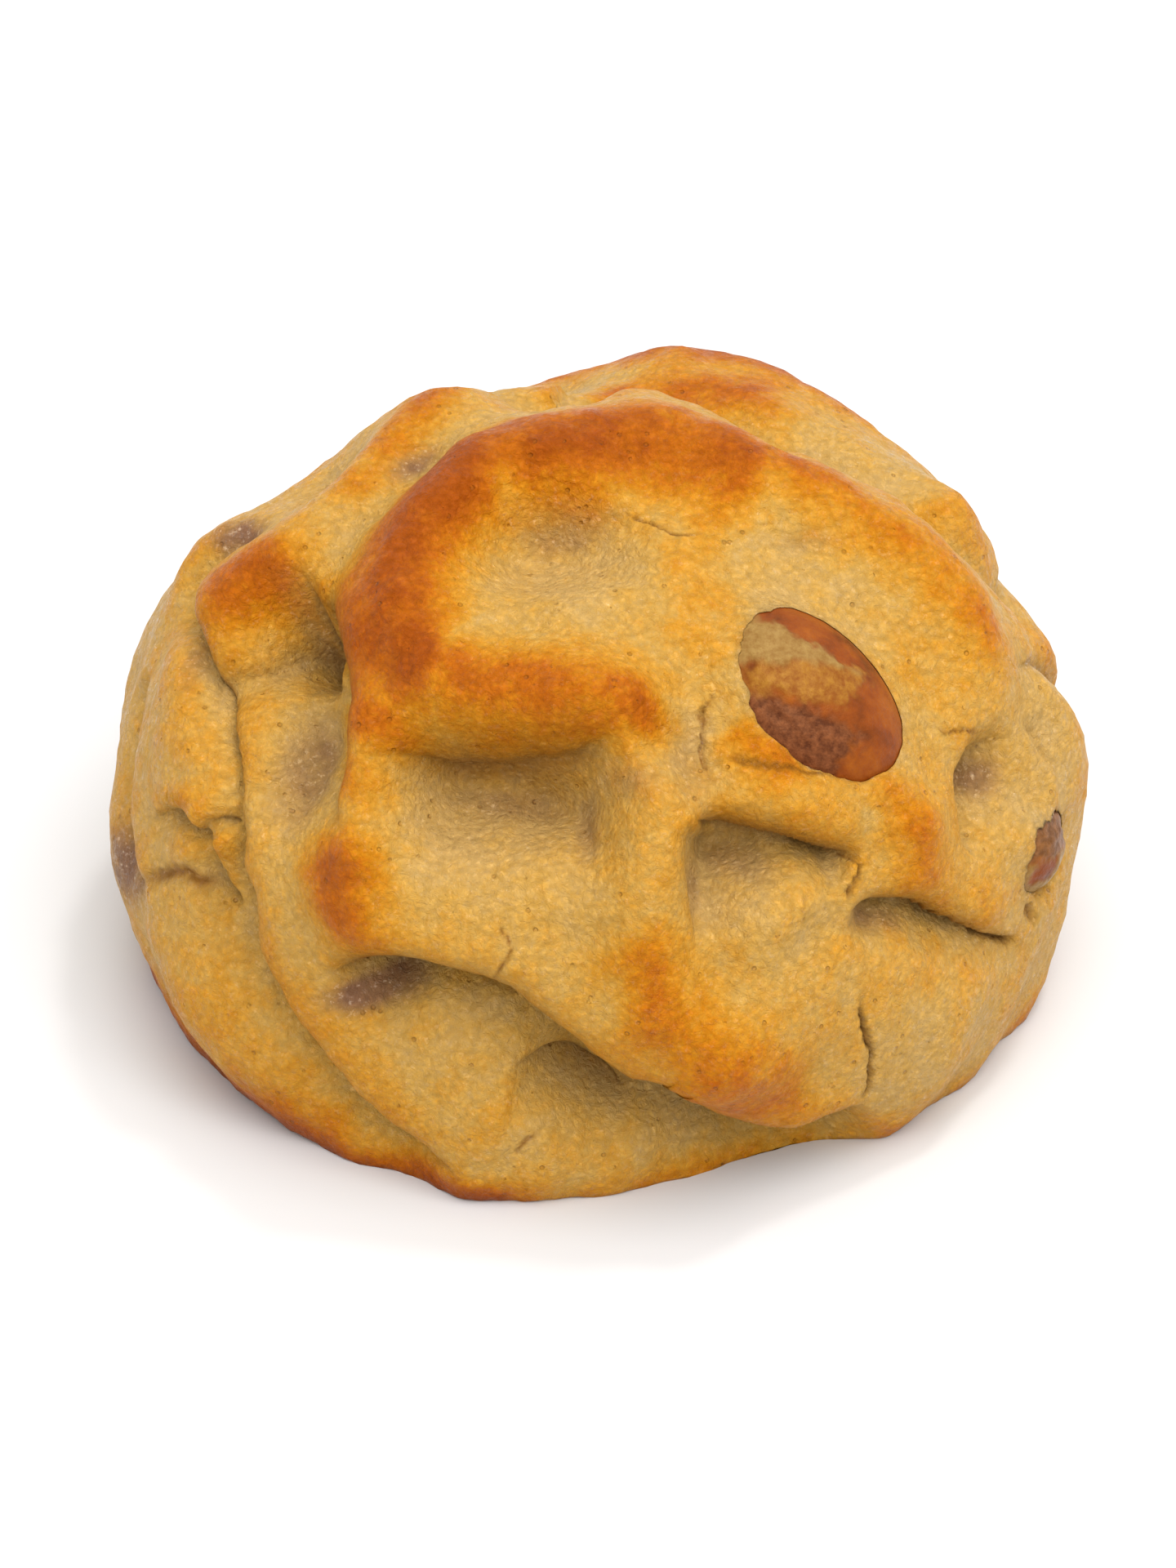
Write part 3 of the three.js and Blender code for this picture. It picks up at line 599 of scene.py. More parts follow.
def lay_features(way, edges):
    """Lays every feature where it is seen on the surface that the ones before it have shaped."""
    points = on_round(way)
    normals = round_normal(way)
    wander = np.zeros(len(points))
    height = np.zeros(len(points))
    laid = {}
    for _ in range(LAYING_ROUNDS):
        surface = (way, height)
        for kind, table in (("rolls", ROLLS), ("grooves", GROOVES)):
            laid[kind] = [lay_line(surface, **feature) for feature in table.values()]
        for kind, table in (("swells", SWELLS), ("hollows", HOLLOWS)):
            laid[kind] = [lay_lump(surface, **feature) for feature in table.values()]
        height = soft_relief(points, normals, edges, laid)
    laid["folds"] = []
    for feature in FOLDS.values():
        fold = lay_line((way, height), **feature)
        near, raised, _, _ = fold_dough(points, normals, wander, fold)
        height[near] += raised
        laid["folds"].append(fold)
    laid["cracks"] = [lay_line((way, height), **feature) for feature in CRACKS.values()]
    return laid


# The fine unevenness, as rows of how high, how large across in millimetres, and its own number.
FOLD_UNEVENNESS = [(1, 3.1, 1), (0.4, 1.1, 2)]
CRUST_UNEVENNESS = [(0.24, 3.6, 6), (0.13, 1.7, 3)]
SWIRLED_UNEVENNESS = [(0.08, 0.8, 4)]
CRACK_UNEVENNESS = [(0.16, 0.5, 5)]
SWIRL = 0.5
SWIRL_SIZE = 1.3
SWIRL_SEEDS = (16, 17, 18)
CRACK_WANDER = 0.25
CRACK_REACH = 2


def unevenness(points, rows):
    """The grain of all the rows together."""
    return sum(high * grain(points, size, seed) for high, size, seed in rows)


def shape_dough(way, edges, laid):
    """The shaped surface over each direction from the middle, how much painted shade it takes in a
    crease or a crack, and how far it is raised."""
    points = on_round(way)
    normals = round_normal(way)
    wander = unevenness(points, FOLD_UNEVENNESS)
    height = soft_relief(points, normals, edges, laid)
    shift = np.zeros_like(points)
    # Painted shade: the creases at the folds' feet and inside the cracks are marked darker for the
    # material.
    crease = np.zeros(len(points))
    for fold in laid["folds"]:
        near, raised, push, depth = fold_dough(points, normals, wander, fold)
        height[near] += raised
        shift[near] += push
        crease[near] = np.maximum(crease[near], depth)
    for crack in laid["cracks"]:
        near = near_line(points, crack["line"], CRACK_REACH)
        distance, walked, _ = beside_line(points[near], normals[near], crack["line"])
        jagged = distance + CRACK_WANDER * wander[near] + unevenness(points[near], CRACK_UNEVENNESS)
        share = ending(walked, crack["fade"]) * np.exp(-((jagged / crack["wide"]) ** 2))
        height[near] -= crack["high"] * share
        crease[near] = np.maximum(crease[near], share)
    height += unevenness(points, CRUST_UNEVENNESS)
    swirl = np.stack([grain(points, SWIRL_SIZE, seed) for seed in SWIRL_SEEDS], axis=1)
    height += unevenness(points + SWIRL * swirl, SWIRLED_UNEVENNESS)
    points = points + shift + height[:, None] * normals
    return points, crease, height


# The dough starts as a fine ball. Its rays spread from a little behind the middle, so the mesh is
# finer in front, and it is cut finer again where it faces the viewer, and along the folds, the
# cracks and the beans. A bean is given by its half sizes. It is `sunk` below the plain round, and
# `bend` curls its two ends.
TRIAL_STEPS = 6
BALL_STEPS = 7
FINER_TOWARDS = np.array([0, -0.3, 0.24])
FACING_VIEWER = 0.68
FACING_AWAY = -0.1
FINER_WITHIN = 1.5
BEANS = {
    "bean_top": dict(at=(15.1, 17.1), half=(8.1, 6, 4.4), turn=-50, sunk=1.9, bend=0.5),
    "bean_side": dict(at=(31.7, 6.5), half=(4.8, 4, 3.4), turn=12, sunk=2.3, bend=0.2),
}
plain_round = (np.array([[0.0, 0.0, 1.0]]), np.zeros(1))
beans = {name: lay_lump(plain_round, **bean) for name, bean in BEANS.items()}
BEAN_CLEARANCE = 0.04
RIM_INNER = 0.9
RIM_OUTER = 1.35
RIM_WIDTH = 0.12
POCKET_DEPTH = 8
CURL_ENDS = 1.3
CURL_LEVEL = 0.4
STEEPEST_CONTACT = 0.95
BEAN_RIM_UNEVENNESS = [(0.36, 1.9, 7), (0.14, 0.8, 9)]
RIM_HEIGHTS = {"bean_top": (0.3, 0.35, -2.4), "bean_side": (-0.05, 0.55, 2)}


def hug_bean(points, bean, rim):
    """Moves the dough round a bean: its rim closes on the bean, and the rest lines its pocket. The
    rim is given by its height over the round, how much higher it is on one side, and which."""
    half = np.array(bean["half"])
    offset = points - bean["centre"]
    u, w = offset @ bean["along"], offset @ bean["out"]
    curl = bean["bend"] * (np.clip(u / half[0], -CURL_ENDS, CURL_ENDS) ** 2 - CURL_LEVEL)
    v = offset @ bean["aside"] - curl
    reach = np.hypot(u / half[0], v / half[1])
    near = np.flatnonzero((reach < RIM_OUTER) & (np.abs(w) < POCKET_DEPTH))
    u, v, w, curl, reach = u[near], v[near], w[near], curl[near], reach[near]
    round_it = np.arctan2(v / half[1], u / half[0])
    level, swing, towards = rim
    uneven = unevenness(points[near], BEAN_RIM_UNEVENNESS)
    rim_height = level + swing * np.cos(round_it - towards) + uneven
    contact = np.clip((rim_height + bean["sunk"]) / half[2], -STEEPEST_CONTACT, STEEPEST_CONTACT)
    contact = np.arccos(contact)
    outward = np.clip((reach - RIM_INNER) / (RIM_OUTER - RIM_INNER), 0, 1)
    inward = np.clip(reach / RIM_INNER, 0, 1)
    polar = math.pi - (math.pi - contact) * inward
    grown = 1 + BEAN_CLEARANCE / half[2]
    lining = np.where(reach < RIM_INNER, grown * np.sin(polar), 0)
    rim_reach = grown * np.sin(contact) * (1 - outward) + reach * outward
    new_reach = np.where(reach < RIM_INNER, lining, rim_reach)
    rise = smooth_step(outward, 0, 1)
    new_w = np.where(
        reach < RIM_INNER,
        half[2] * grown * np.cos(polar) - bean["sunk"],
        rim_height * (1 - rise) + w * rise,
    )
    new_u = new_reach * np.cos(round_it) * half[0]
    new_v = new_reach * np.sin(round_it) * half[1] + curl
    points[near] = (
        bean["centre"]
        + new_u[:, None] * bean["along"]
        + new_v[:, None] * bean["aside"]
        + new_w[:, None] * bean["out"]
    )
    return near, reach


# How far off a detail still counts, in millimetres. RIM_SCALE makes millimetres of shares of a bean.
DETAIL_REACH = 3
BEAN_REACH = 12
RIM_ZONE = 1.3
RIM_SCALE = 4


def nearest_detail(way, laid):
    """How near each place is to a fold, a crack or a bean's rim, in millimetres."""
    points = on_round(way)
    normals = round_normal(way)
    nearest = np.full(len(points), np.inf)
    for line in [feature["line"] for feature in laid["folds"] + laid["cracks"]]:
        near = near_line(points, line, DETAIL_REACH)
        distance, _, _ = beside_line(points[near], normals[near], line)
        nearest[near] = np.minimum(nearest[near], np.abs(distance))
    for bean in beans.values():
        offset = points - bean["centre"]
        half_long, half_short, _ = bean["half"]
        reach = np.hypot(offset @ bean["along"] / half_long, offset @ bean["aside"] / half_short)
        close = (reach < RIM_ZONE) & (np.linalg.norm(offset, axis=1) < BEAN_REACH)
        nearest = np.where(close, np.minimum(nearest, RIM_SCALE * np.abs(reach - 1)), nearest)
    return nearest


def cut_finer(ball, wanted):
    """Cuts the faces between the wanted points in four."""
    edges = [edge for edge in ball.edges if all(wanted[vert.index] for vert in edge.verts)]
    bmesh.ops.subdivide_edges(ball, edges=edges, cuts=1, use_grid_fill=True)
    bmesh.ops.triangulate(ball, faces=[face for face in ball.faces if len(face.verts) > 3])


def ball_ways(ball):
    """The directions of the ball's points, and the pairs of points that its edges join."""
    ball.verts.index_update()
    spots = unit(np.array([vert.co for vert in ball.verts]))
    edges = np.array([[vert.index for vert in edge.verts] for edge in ball.edges]).T
    return unit(spots + FINER_TOWARDS), edges


# The features are laid on a coarser ball, and then shape the fine one.
trial_ball = bmesh.new()
bmesh.ops.create_icosphere(trial_ball, subdivisions=TRIAL_STEPS, radius=1)
features = lay_features(*ball_ways(trial_ball))
trial_ball.free()

ball = bmesh.new()
bmesh.ops.create_icosphere(ball, subdivisions=BALL_STEPS - 0, radius=1)
ways, edges = ball_ways(ball)
facing = ways @ np.array(to_viewer)
near_detail = (nearest_detail(ways, features) < FINER_WITHIN) & (facing > FACING_AWAY)
cut_finer(ball, near_detail | (facing > FACING_VIEWER))
ways, edges = ball_ways(ball)
dough_points, creased, raised = shape_dough(ways, edges, features)
rim_near = np.zeros(len(ways))
for name, bean in beans.items():
    near, reach = hug_bean(dough_points, bean, RIM_HEIGHTS[name])
    rim_near[near] = np.maximum(rim_near[near], np.exp(-(((reach - RIM_INNER) / RIM_WIDTH) ** 2)))
dough_points[:, 2] = np.maximum(dough_points[:, 2], 0)


def make_piece(name, shape, points):
    """A smooth piece of a bmesh, with its points moved to where they are given in millimetres."""
    for vert, place in zip(shape.verts, points):
        vert.co = place / 1000
    mesh = bpy.data.meshes.new(name)
    shape.to_mesh(mesh)
    shape.free()
    mesh.polygons.foreach_set("use_smooth", [True] * len(mesh.polygons))
    piece = bpy.data.objects.new(name, mesh)
    bpy.context.scene.collection.objects.link(piece)
    return piece


dough = make_piece("baked_dough", ball, dough_points)

# Where the oven browned the dough: strokes along its ridges and patches, each with a strength.
BROWNED_STROKES = {
    "crest_left": dict(
        path=[(-9, 35.8), (-6, 35), (-2.3, 34.8), (1.2, 35.2), (5.9, 34.4), (9.6, 32.8), (13, 31.2)],
        wide=4.4, strength=0.62, fade=(0.1, 0.15)),
    "crest_right": dict(
        path=[(10, 34.9), (13.8, 33), (17.2, 31), (20.6, 28.6), (24.7, 25.2), (27.9, 21.2),
              (29.4, 17.2)],
        wide=2.8, strength=0.3, fade=(0.15, 0.2)),
    "hollow_rim": dict(
        path=[(-9.4, 34.8), (-10.8, 32), (-12.8, 29), (-14.2, 25.4), (-14.4, 21.6), (-12.8, 18.6),
              (-9, 17.4)],
        wide=3.8, strength=0.76, fade=(0.1, 0.2)),
    "hollow_rim_front": dict(
        path=[(-13.2, 22), (-11.4, 19.2), (-7.6, 17.6), (-2.4, 16.8), (1.8, 16.2), (6.2, 14.8)],
        wide=3.4, strength=0.38, fade=(0.3, 0.2)),
    "hollow_rim_foot": dict(
        path=[(-15.9, 20.3), (-15.6, 17), (-14.4, 15), (-9, 14.4)],
        wide=2, strength=0.45, fade=(0.2, 0.3)),
    # This stroke is partly browning and partly painted shade on the pocket's lit wall.
    "pocket_wall": dict(
        path=[(-16.2, 18.4), (-16.6, 15), (-16.6, 11), (-17.2, 7.8)],
        wide=1.7, strength=0.3, fade=(0.2, 0.3)),
    "upper_left_roll": dict(
        path=[(-9.6, 38.8), (-13.4, 36.2), (-16.4, 32.6), (-19.4, 29.6)],
        wide=2.4, strength=0.32, fade=(0.2, 0.3)),
    "left_lobe": dict(
        path=[(-19.4, 28.4), (-23.5, 26.4), (-26.3, 25), (-27, 22.4)],
        wide=3, strength=0.36, fade=(0.3, 0.3)),
    "middle_roll": dict(
        path=[(3.2, 2.6), (4, -1.4), (5.2, -5.4), (8.8, -8.6), (12.9, -10), (16.5, -9.8)],
        wide=3.4, strength=0.34),
    "bean_rim": dict(
        path=[(8.2, 14.9), (10, 13.3), (12.6, 12), (15.8, 11.3)],
        wide=1.6, strength=0.42, fade=(0.2, 0.3)),
    "between_hollows": dict(
        path=[(4.6, 30), (6.6, 26.4), (7, 22), (6.4, 18)], wide=3, strength=0.15, fade=(0.3, 0.3)),
    "left_foot": dict(
        path=[(-34.1, 0), (-31.2, -5.6), (-27.1, -9.7), (-21.2, -13.8), (-14.7, -16.5)],
        wide=5, strength=0.7, fade=(0.15, 0.2)),
    "front_foot": dict(
        path=[(-20.4, -14.6), (-15, -16.4), (-9, -17.8), (-3, -18.2)],
        wide=1.7, strength=0.5, fade=(0.2, 0.3)),
    "back_flap": dict(
        path=[(-2, 40), (2.9, 41.6), (7.1, 42), (11.8, 40.2), (15.6, 37.6)],
        wide=3, strength=0.6, fade=(0.2, 0.3)),
    "back_roll": dict(side=175, path=ROLLS["back_roll"]["path"], wide=3.4, strength=0.6),
    "back_cross": dict(
        side=175, path=ROLLS["back_cross_roll"]["path"], wide=3, strength=0.5, fade=(0.2, 0.3)),
}
BROWNED_PATCHES = {
    "knee": dict(at=(-18.2, 3.8), long=6, short=5.4, turn=-60, strength=0.5),
    "bump": dict(at=(2.8, 15.6), long=4.4, short=2.9, turn=-15, strength=0.46),
    "right": dict(at=(22.4, 7.4), long=5.4, short=4, turn=-58, strength=0.5, flat=0),
    "shoulder": dict(at=(24, 20), long=8, short=6, turn=-50, strength=0.14),
    "back_left": dict(side=175, at=(-18, -1), long=12, short=5, turn=25, strength=0.34, flat=0),
    "back_right": dict(side=175, at=(18, 3), long=11, short=4.4, turn=-30, strength=0.36, flat=0),
    "left_back": dict(side=-105, at=(-8, 12), long=11, short=5, turn=35, strength=0.3, flat=0),
}
PALE_PATCHES = {
    "top": dict(at=(-2.6, 25.2), long=9, short=7, strength=0.16, flat=0.4),
    "middle_left": dict(at=(-7.8, 7.4), long=8, short=5.6, strength=0.14, flat=0.5),
    "middle_right": dict(at=(9.4, 3.8), long=4.4, short=4.6, strength=0.12, flat=0.3),
    "right": dict(at=(28.2, 10), long=4, short=4, strength=0.12, flat=0.2),
    "pocket": dict(at=(-20.8, 12.4), long=4.6, short=8, strength=0.1, flat=0.4),
    "crown": dict(at=(16, 24.5), long=10, short=5, turn=-25, strength=0.1, flat=0.2),
    "beside_bean": dict(at=(11.4, 22.6), long=4, short=3, turn=-50, strength=0.18),
    "back_flap": dict(at=(20, 34), long=12, short=4, turn=-40, strength=0.16, flat=0.3),
    "bottom": dict(at=(-1, -15.6), long=12, short=5, strength=0.14, flat=0.2),
    "right_side": dict(at=(32, 15), long=8, short=5, turn=90, strength=0.16, flat=0.2),
    "cheek": dict(at=(22, -9), long=9, short=6, turn=30, strength=0.12, flat=0.2),
}

# Where the dough is so thin that the dark filling tints it, and painted shade: most of these patches
# lie in pockets, hollows, creases and under walls, and darken them as shade would.
STAIN_AND_SHADE_PATCHES = {
    "grey_pocket": dict(at=(-14.9, -3), long=4.6, short=1.9, turn=-8, strength=0.85, flat=0.3),
    "shoulder": dict(at=(-25.3, 28.6), long=3.6, short=2.4, turn=10, strength=0.95, flat=0.2),
    "left_side": dict(at=(-33.2, 5.2), long=6, short=4.2, strength=0.95, flat=0.2),
    "lobe_crease": dict(at=(-28.2, 19.6), long=1.2, short=4.2, turn=14, strength=0.45, flat=0),
    "pocket_floor": dict(at=(-19.4, 12.4), long=3, short=6.6, strength=0.62),
    "pocket_throat": dict(at=(-18.6, 22.6), long=2.4, short=3, strength=0.4),
    "middle_left": dict(at=(-5.6, 10.6), long=7, short=2.2, turn=-2, strength=0.4),
    "under_bump": dict(at=(2.4, 11), long=3.6, short=2.2, turn=-20, strength=0.3),
    "valley": dict(at=(6.4, 12.2), long=2.6, short=5, strength=0.26),
    "middle_left_wall": dict(at=(-0.6, 8.4), long=1.3, short=4, strength=0.45),
    "middle_right": dict(at=(9.4, 6), long=3.8, short=2, turn=-10, strength=0.35),
    "right_brow": dict(at=(18.8, 1.7), long=5, short=1.4, turn=-4, strength=0.5),
    "right_dent": dict(at=(26.4, 11.6), long=2.6, short=2.4, strength=0.8),
    "channel": dict(at=(-12.8, 33.4), long=1.6, short=3.2, turn=-24, strength=0.8),
    "dent_wall": dict(at=(6.6, 4), long=1.2, short=3.4, strength=0.4, flat=0),
    "top_hollow": dict(at=(-2, 28.4), long=5.6, short=2.1, strength=0.42),
    "second_hollow": dict(at=(15, 27.8), long=3, short=1.3, turn=-8, strength=0.3),
    "ledge": dict(at=(-3, -7.4), long=3, short=1, turn=-20, strength=0.2, flat=0),
    "side_hole": dict(at=(31.4, 7.2), long=3.4, short=2, turn=35, strength=0.9, flat=0.3),
    "back": dict(side=175, at=(8, 8), long=3, short=2, strength=0.5, flat=0),
}

# The crust is browner all over where it is raised, on the crests that stand over what is round
# them, and in a band at the foot, where it lay on the hot tray; that band also darkens the foot
# as painted shade where it turns under.
BASE_BROWNED = 0.2
RAISED_BROWNED = 0.02
RAISED_LIMITS = (-2, 4)
CREST_BROWNED = 0.22
FOOT_BROWNING_AND_SHADE = 0.3
FOOT_HEIGHT = 2.2
CREST_SPREADS = 60
FULL_HOLLOW_SHADE = 2.2
RIM_STAINED = 0.25
STROKE_UNEVENNESS = [(0.22, 3, 14), (0.3, 6.5, 15)]
BROWNING_UNEVENNESS = [(0.07, 4.2, 11), (0.05, 1.6, 12)]
STAIN_AND_SHADE_UNEVENNESS = [(0.5, 1.3, 13)]

seen_surface = (ways, raised)
crest = raised - spread(raised, edges, CREST_SPREADS)
round_points = on_round(ways)
round_normals = round_normal(ways)


def patch_shares(table):
    """How strongly each of a table's patches lies over each point of the dough."""
    for patch in table.values():
        placed = lay_lump(seen_surface, **patch)
        yield placed["strength"] * lump_share(round_points, placed)


def stroke_shares(table):
    for stroke in table.values():
        placed = lay_line(seen_surface, **stroke)
        yield placed["strength"] * roll_share(round_points, round_normals, placed)


browned = BASE_BROWNED + RAISED_BROWNED * np.clip(raised, *RAISED_LIMITS)
browned += CREST_BROWNED * np.clip(crest, -1, 1)
strokes = np.zeros(len(ways))
for share in (*stroke_shares(BROWNED_STROKES), *patch_shares(BROWNED_PATCHES)):
    strokes = np.maximum(strokes, share)
browned += strokes * (1 + unevenness(round_points, STROKE_UNEVENNESS))
for share in patch_shares(PALE_PATCHES):
    browned -= share
# The foot band is browning and also painted shade where the dough turns under.
browned += FOOT_BROWNING_AND_SHADE * np.exp(-((dough_points[:, 2] / FOOT_HEIGHT) ** 2))
browned += unevenness(round_points, BROWNING_UNEVENNESS)
# Painted shade: the lower a place lies under the smoothed surface round it, the darker its hollow.
hollowed = np.clip(-crest / FULL_HOLLOW_SHADE, 0, 1)
stained = RIM_STAINED * rim_near
for share in patch_shares(STAIN_AND_SHADE_PATCHES):
    stained = np.maximum(stained, share)
stained = np.clip(stained * (1 + unevenness(round_points, STAIN_AND_SHADE_UNEVENNESS)), 0, 1)


def carry(mesh, **layers):
    """Puts on the mesh's points what its material reads there."""
    for name, values in layers.items():
        layer = mesh.attributes.new(name, "FLOAT", "POINT")
        layer.data.foreach_set("value", values.astype(np.float32))


LAYER_LIMITS = (0, 1.2)
carry(
    dough.data,
    browned=np.clip(browned, *LAYER_LIMITS),
    stained=stained,
    creased=np.clip(creased, *LAYER_LIMITS),
    hollowed=hollowed,
)


def colour(red, green, blue):
    """A colour as a painter's swatch from 0 to 255, as the linear light that a shader takes."""
    swatch = np.array([red, green, blue]) / 255
    linear = np.where(swatch < 0.04045, swatch / 12.92, ((swatch + 0.055) / 1.055) ** 2.4)
    return (*linear.tolist(), 1)


BLACK = (0, 0, 0, 1)
WHITE = (1, 1, 1, 1)


def new_material(name):
    """A new material, its node tree and its one shader."""
    material = bpy.data.materials.new(name)
    material.use_nodes = True
    tree = material.node_tree
    return material, tree, tree.nodes["Principled BSDF"]


def feed(tree, socket, value):
    """Sets a node's socket to a number or a colour, or links another node's output to it."""
    if isinstance(value, bpy.types.NodeSocket):
        tree.links.new(value, socket)
    else:
        socket.default_value = value


def add_ramp(tree, value, *stops):
    """A blend from colour to colour as the value rises. Each stop is a position and a colour."""
    node = tree.nodes.new("ShaderNodeValToRGB")
    ramp = node.color_ramp
    first, last = ramp.elements
    first.position, first.color = stops[0]
    last.position, last.color = stops[-1]
    for position, swatch in stops[1:-1]:
        ramp.elements.new(position).color = swatch
    tree.links.new(value, node.inputs["Fac"])
    return node.outputs["Color"]


def add_noise(tree, scale, detail, roughness, twist=0):
    """Noise of so many lumps a metre, through the piece itself. `twist` swirls it."""
    place = tree.nodes.new("ShaderNodeTexCoord")
    texture = tree.nodes.new("ShaderNodeTexNoise")
    texture.inputs["Scale"].default_value = scale
    texture.inputs["Detail"].default_value = detail
    texture.inputs["Roughness"].default_value = roughness
    texture.inputs["Distortion"].default_value = twist
    tree.links.new(place.outputs["Object"], texture.inputs["Vector"])
    return texture.outputs["Fac"]


def add_cells(tree, scale):
    """How far it is to the nearest of so many random spots a metre, as a share of their spacing."""
    place = tree.nodes.new("ShaderNodeTexCoord")
    texture = tree.nodes.new("ShaderNodeTexVoronoi")
    texture.inputs["Scale"].default_value = scale
    tree.links.new(place.outputs["Object"], texture.inputs["Vector"])
    return texture.outputs["Distance"]


def add_math(tree, operation, first, second, clamp=False):
    node = tree.nodes.new("ShaderNodeMath")
    node.operation = operation
    node.use_clamp = clamp
    feed(tree, node.inputs[0], first)
    feed(tree, node.inputs[1], second)
    return node.outputs["Value"]


def product(tree, first, second, clamp=False):
    return add_math(tree, "MULTIPLY", first, second, clamp)


def swing(tree, texture, amount):
    """A texture's swing to either side of its middle value, at the given amount."""
    return product(tree, add_math(tree, "SUBTRACT", texture, 0.5), amount)


def add_mix(tree, share, first, second):
    """The first colour, with so much of the second mixed in."""
    node = tree.nodes.new("ShaderNodeMix")
    node.data_type = "RGBA"
    for number, value in ((0, share), (6, first), (7, second)):
        feed(tree, node.inputs[number], value)
    return node.outputs[2]


def add_layer(tree, name):
    """What the mesh carries under a name, such as how browned it is."""
    node = tree.nodes.new("ShaderNodeAttribute")
    node.attribute_name = name
    return node.outputs["Fac"]


def add_bump(tree, height, distance, strength):
    bump = tree.nodes.new("ShaderNodeBump")
    bump.inputs["Distance"].default_value = distance
    bump.inputs["Strength"].default_value = strength
    tree.links.new(height, bump.inputs["Height"])
    return bump.outputs["Normal"]


# The crust's colour runs from pale to dark brown with the browning, mottled and finely flecked.
baked_dough, tree, shader = new_material("baked_dough")
mottle = add_noise(tree, scale=380, detail=6, roughness=0.68)
fleck = add_noise(tree, scale=2300, detail=3, roughness=0.6)
browning = add_math(tree, "ADD", add_layer(tree, "browned"), swing(tree, mottle, 0.75))
browning = add_math(tree, "ADD", browning, swing(tree, fleck, 0.34), clamp=True)
skin = add_ramp(
    tree, browning,
    (0.0, colour(186, 150, 88)),
    (0.2, colour(190, 146, 68)),
    (0.38, colour(194, 136, 40)),
    (0.56, colour(188, 117, 11)),
    (0.76, colour(174, 91, 2)),
    (1.0, colour(149, 67, 0)),
)
# Pale dough has light specks in its colour as painted glints, and is stained where the filling is
# close below.
speck_noise = add_noise(tree, scale=2300, detail=3, roughness=0.66)
speck = add_ramp(tree, speck_noise, (0.58, BLACK), (0.7, WHITE))
pale = add_math(tree, "SUBTRACT", 0.9, add_layer(tree, "browned"), clamp=True)
# Painted glints: light specks mixed into the colour of the pale dough.
painted_glint_specks = product(tree, speck, product(tree, pale, 0.5))
skin = add_mix(tree, painted_glint_specks, skin, colour(226, 188, 122))
stain = add_mix(tree, speck, colour(126, 90, 66), colour(184, 156, 132))
# This tone is a stain in some places and painted shade in the pockets, hollows and creases.
skin = add_mix(tree, add_layer(tree, "stained"), skin, stain)
# Painted shade darkens the creases and hollows, and the hollows also take light specks.
# Painted shade: the creases of the folds and the cracks darken toward a dark brown.
crease_shade_share = product(tree, add_layer(tree, "creased"), 0.85, clamp=True)
skin = add_mix(tree, crease_shade_share, skin, colour(122, 72, 14))
hollow_shade_share = product(tree, add_layer(tree, "hollowed"), 0.28, clamp=True)
skin = add_mix(tree, hollow_shade_share, skin, colour(126, 86, 28))
hollow_specks = product(tree, speck, product(tree, hollow_shade_share, 2.4), clamp=True)
skin = add_mix(tree, hollow_specks, skin, colour(206, 178, 122))
# Pores come in groups, dark and sunk.
pore_spot = add_ramp(tree, add_cells(tree, scale=850), (0.0, WHITE), (0.1, WHITE), (0.17, BLACK))
in_pore = product(tree, pore_spot, add_math(tree, "GREATER_THAN", mottle, 0.53))
skin = add_mix(tree, product(tree, in_pore, 0.3), skin, colour(140, 84, 26))
tree.links.new(skin, shader.inputs["Base Color"])
# Fat and egg make the crust half glossy in spots, with tiny glints where it is pale.
gloss_noise = add_noise(tree, scale=900, detail=4, roughness=0.7)
gloss = add_ramp(tree, gloss_noise, (0.38, (0.62, 0.62, 0.62, 1)), (0.6, (0.34, 0.34, 0.34, 1)))
tree.links.new(gloss, shader.inputs["Roughness"])
shader.inputs["Specular IOR Level"].default_value = 0.28
shader.inputs["Specular Tint"].default_value = (1, 0.66, 0.26, 1)
shader.inputs["Subsurface Weight"].default_value = 0.1
shader.inputs["Subsurface Radius"].default_value = (1, 0.7, 0.35)
shader.inputs["Subsurface Scale"].default_value = 0.001
glint_noise = add_noise(tree, scale=2600, detail=3, roughness=0.6)
glint = add_ramp(tree, glint_noise, (0.56, BLACK), (0.64, WHITE))
tree.links.new(product(tree, glint, pale), shader.inputs["Coat Weight"])
shader.inputs["Coat Roughness"].default_value = 0.14
# The crumb is rough and grainy.
crumb = add_noise(tree, scale=1300, detail=5, roughness=0.7, twist=1.2)
grains = add_cells(tree, scale=1900)
rough_skin = add_math(tree, "SUBTRACT", crumb, product(tree, grains, 0.4))
rough_skin = add_math(tree, "SUBTRACT", rough_skin, product(tree, in_pore, 0.5))
rough_normal = add_bump(tree, rough_skin, distance=0.00044, strength=0.9)
tree.links.new(rough_normal, shader.inputs["Normal"])
tree.links.new(rough_normal, shader.inputs["Coat Normal"])
dough.data.materials.append(baked_dough)
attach(dough, "root")
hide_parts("dough")

# The beans of the filling that show. Each is a whole bean, boiled sweet, with a smooth red-brown
# skin that is purple and wrinkled in a strip, held by the dough that closed over it. A film of
# dough has baked on: pale beside a brown crust on the upper bean, thinner and slit on the other.
BEAN_STEPS = 6
FILM_THICKNESS = 0.13
CRUST_THICKNESS = 0.1
THIN_FILM = 0.25
STRIP_SUNK = 0.1
SMOOTH_RIM = (0.6, 0.82)
COVER_EDGE = (-0.04, 0.12)
COVER_UNEVENNESS = [(0.09, 1.1, 31), (0.07, 0.4, 32)]
SKIN_WRINKLES = [(0.07, 1.5, 21)]
SKIN_WRINKLE_STRETCH = (0.5, 1.4, 1)
SKIN_LUMPS = [(0.03, 0.6, 22)]
STRIP_WRINKLES = [(0.16, 0.9, 23)]
STRIP_WRINKLE_STRETCH = (0.45, 1.6, 1)
FILM_LUMPS = [(0.06, 0.8, 24)]
CRUST_LUMPS = [(0.09, 0.5, 25)]
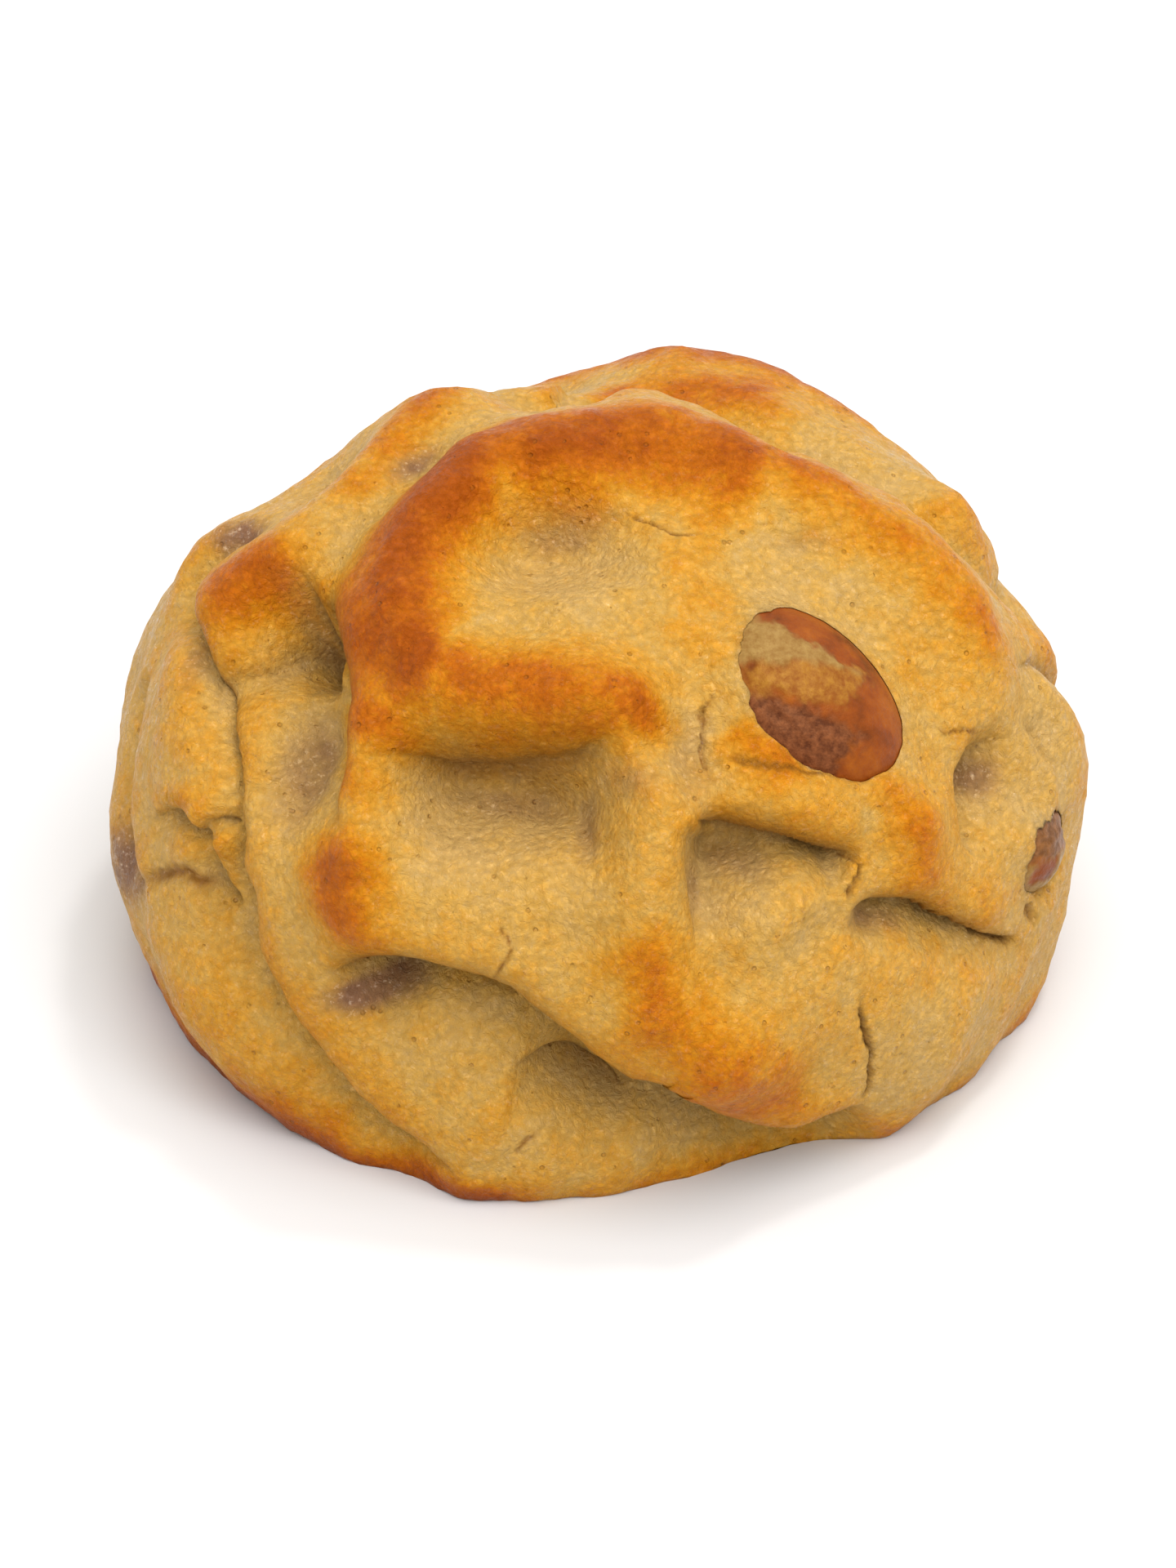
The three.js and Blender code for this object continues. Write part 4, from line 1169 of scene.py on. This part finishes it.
# Each cover of a bean is what lies above its first line, below its second and between its two
# ends, as shares of the bean's half length and half width. A line is its height in the middle and
# its slope.
COVERS = {
    "bean_top": dict(
        film=[(0.25, 1.25), (0.39, 0.3), -1.2, 0.12],
        crust=[(-0.34, 0.95), (0.42, 1.25), -0.6, 0.26],
        strip=[(-1.2, 0), (-0.36, 0.6), -0.95, 0.62]),
    "bean_side": dict(
        film=[(-1.2, 0), (-0.06, 0.1), -1.1, 1.1],
        thin_film=[(-1.2, 0), (1.2, 0), -1.1, 1.1],
        slit=[(-0.6, 0), (-0.1, 0), -0.55, 0.05],
        strip=[(-0.1, 0.1), (1.2, 0), -1.1, 1.1]),
}


def covered(spots, low, high, start, end, ragged):
    """How much each spot of a bean lies under one cover, with a ragged edge."""
    along, across, out = spots.T
    above = across - low[0] - low[1] * along
    below = high[0] + high[1] * along - across
    inside = np.minimum(np.minimum(above, below), np.minimum(along - start, end - along))
    return (out > 0) * smooth_step(inside + ragged, *COVER_EDGE)


def make_bean(name):
    """A bean's mesh, its two ends curled to one side, with a wrinkled skin and its films."""
    bean = beans[name]
    shape = bmesh.new()
    bmesh.ops.create_icosphere(shape, subdivisions=BEAN_STEPS, radius=1)
    spots = np.array([vert.co for vert in shape.verts])
    half = np.array(bean["half"])
    curl = bean["bend"] * (spots[:, 0] ** 2 - CURL_LEVEL)
    local = spots * half
    ragged = unevenness(local, COVER_UNEVENNESS)
    covers = dict.fromkeys(("film", "thin_film", "slit", "crust", "strip"), np.zeros(len(spots)))
    for kind, cover in COVERS[name].items():
        covers[kind] = covered(spots, *cover, ragged)
    film = np.maximum(covers["film"], THIN_FILM * covers["thin_film"]) * (1 - covers["slit"])
    crust = covers["crust"]
    strip = covers["strip"]
    wrinkle = unevenness(local * SKIN_WRINKLE_STRETCH, SKIN_WRINKLES)
    wrinkle += unevenness(local, SKIN_LUMPS)
    wrinkle += strip * (unevenness(local * STRIP_WRINKLE_STRETCH, STRIP_WRINKLES) - STRIP_SUNK)
    wrinkle += film * (FILM_THICKNESS + unevenness(local, FILM_LUMPS))
    wrinkle += crust * (CRUST_THICKNESS + unevenness(local, CRUST_LUMPS))
    wrinkle *= 1 - smooth_step(np.hypot(spots[:, 0], spots[:, 1]), *SMOOTH_RIM)
    local = local * (1 + wrinkle[:, None] / half[2])
    points = (
        bean["centre"]
        + local[:, :1] * bean["along"]
        + (local[:, 1:2] + curl[:, None]) * bean["aside"]
        + (local[:, 2:] - bean["sunk"]) * bean["out"]
    )
    piece = make_piece(name + "_skin", shape, points)
    carry(piece.data, film=film, crust=crust, strip=strip)
    return piece


bean_skin, tree, shader = new_material("bean_skin")
tone = add_noise(tree, scale=420, detail=4, roughness=0.6)
fine = add_noise(tree, scale=1500, detail=5, roughness=0.68)
base = add_ramp(
    tree, tone,
    (0.3, colour(96, 42, 8)),
    (0.5, colour(126, 58, 10)),
    (0.7, colour(146, 76, 14)),
)
COVER_COLOURS = {
    "strip": (colour(76, 34, 14), colour(124, 70, 38)),
    "crust": (colour(124, 68, 16), colour(154, 104, 34)),
    "film": (colour(128, 92, 42), colour(150, 118, 64)),
}
for kind, (dark, light) in COVER_COLOURS.items():
    cover = add_ramp(tree, fine, (0.36, dark), (0.66, light))
    base = add_mix(tree, add_layer(tree, kind), base, cover)
tree.links.new(base, shader.inputs["Base Color"])
gloss = add_ramp(tree, fine, (0.36, (0.5, 0.5, 0.5, 1)), (0.6, (0.3, 0.3, 0.3, 1)))
tree.links.new(gloss, shader.inputs["Roughness"])
shader.inputs["Specular IOR Level"].default_value = 0.22
shader.inputs["Specular Tint"].default_value = (1, 0.72, 0.45, 1)
skin_normal = add_bump(tree, fine, distance=0.0002, strength=0.7)
tree.links.new(skin_normal, shader.inputs["Normal"])
for name in BEANS:
    piece = make_bean(name)
    piece.data.materials.append(bean_skin)
    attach(piece, "root")
    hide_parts(name)
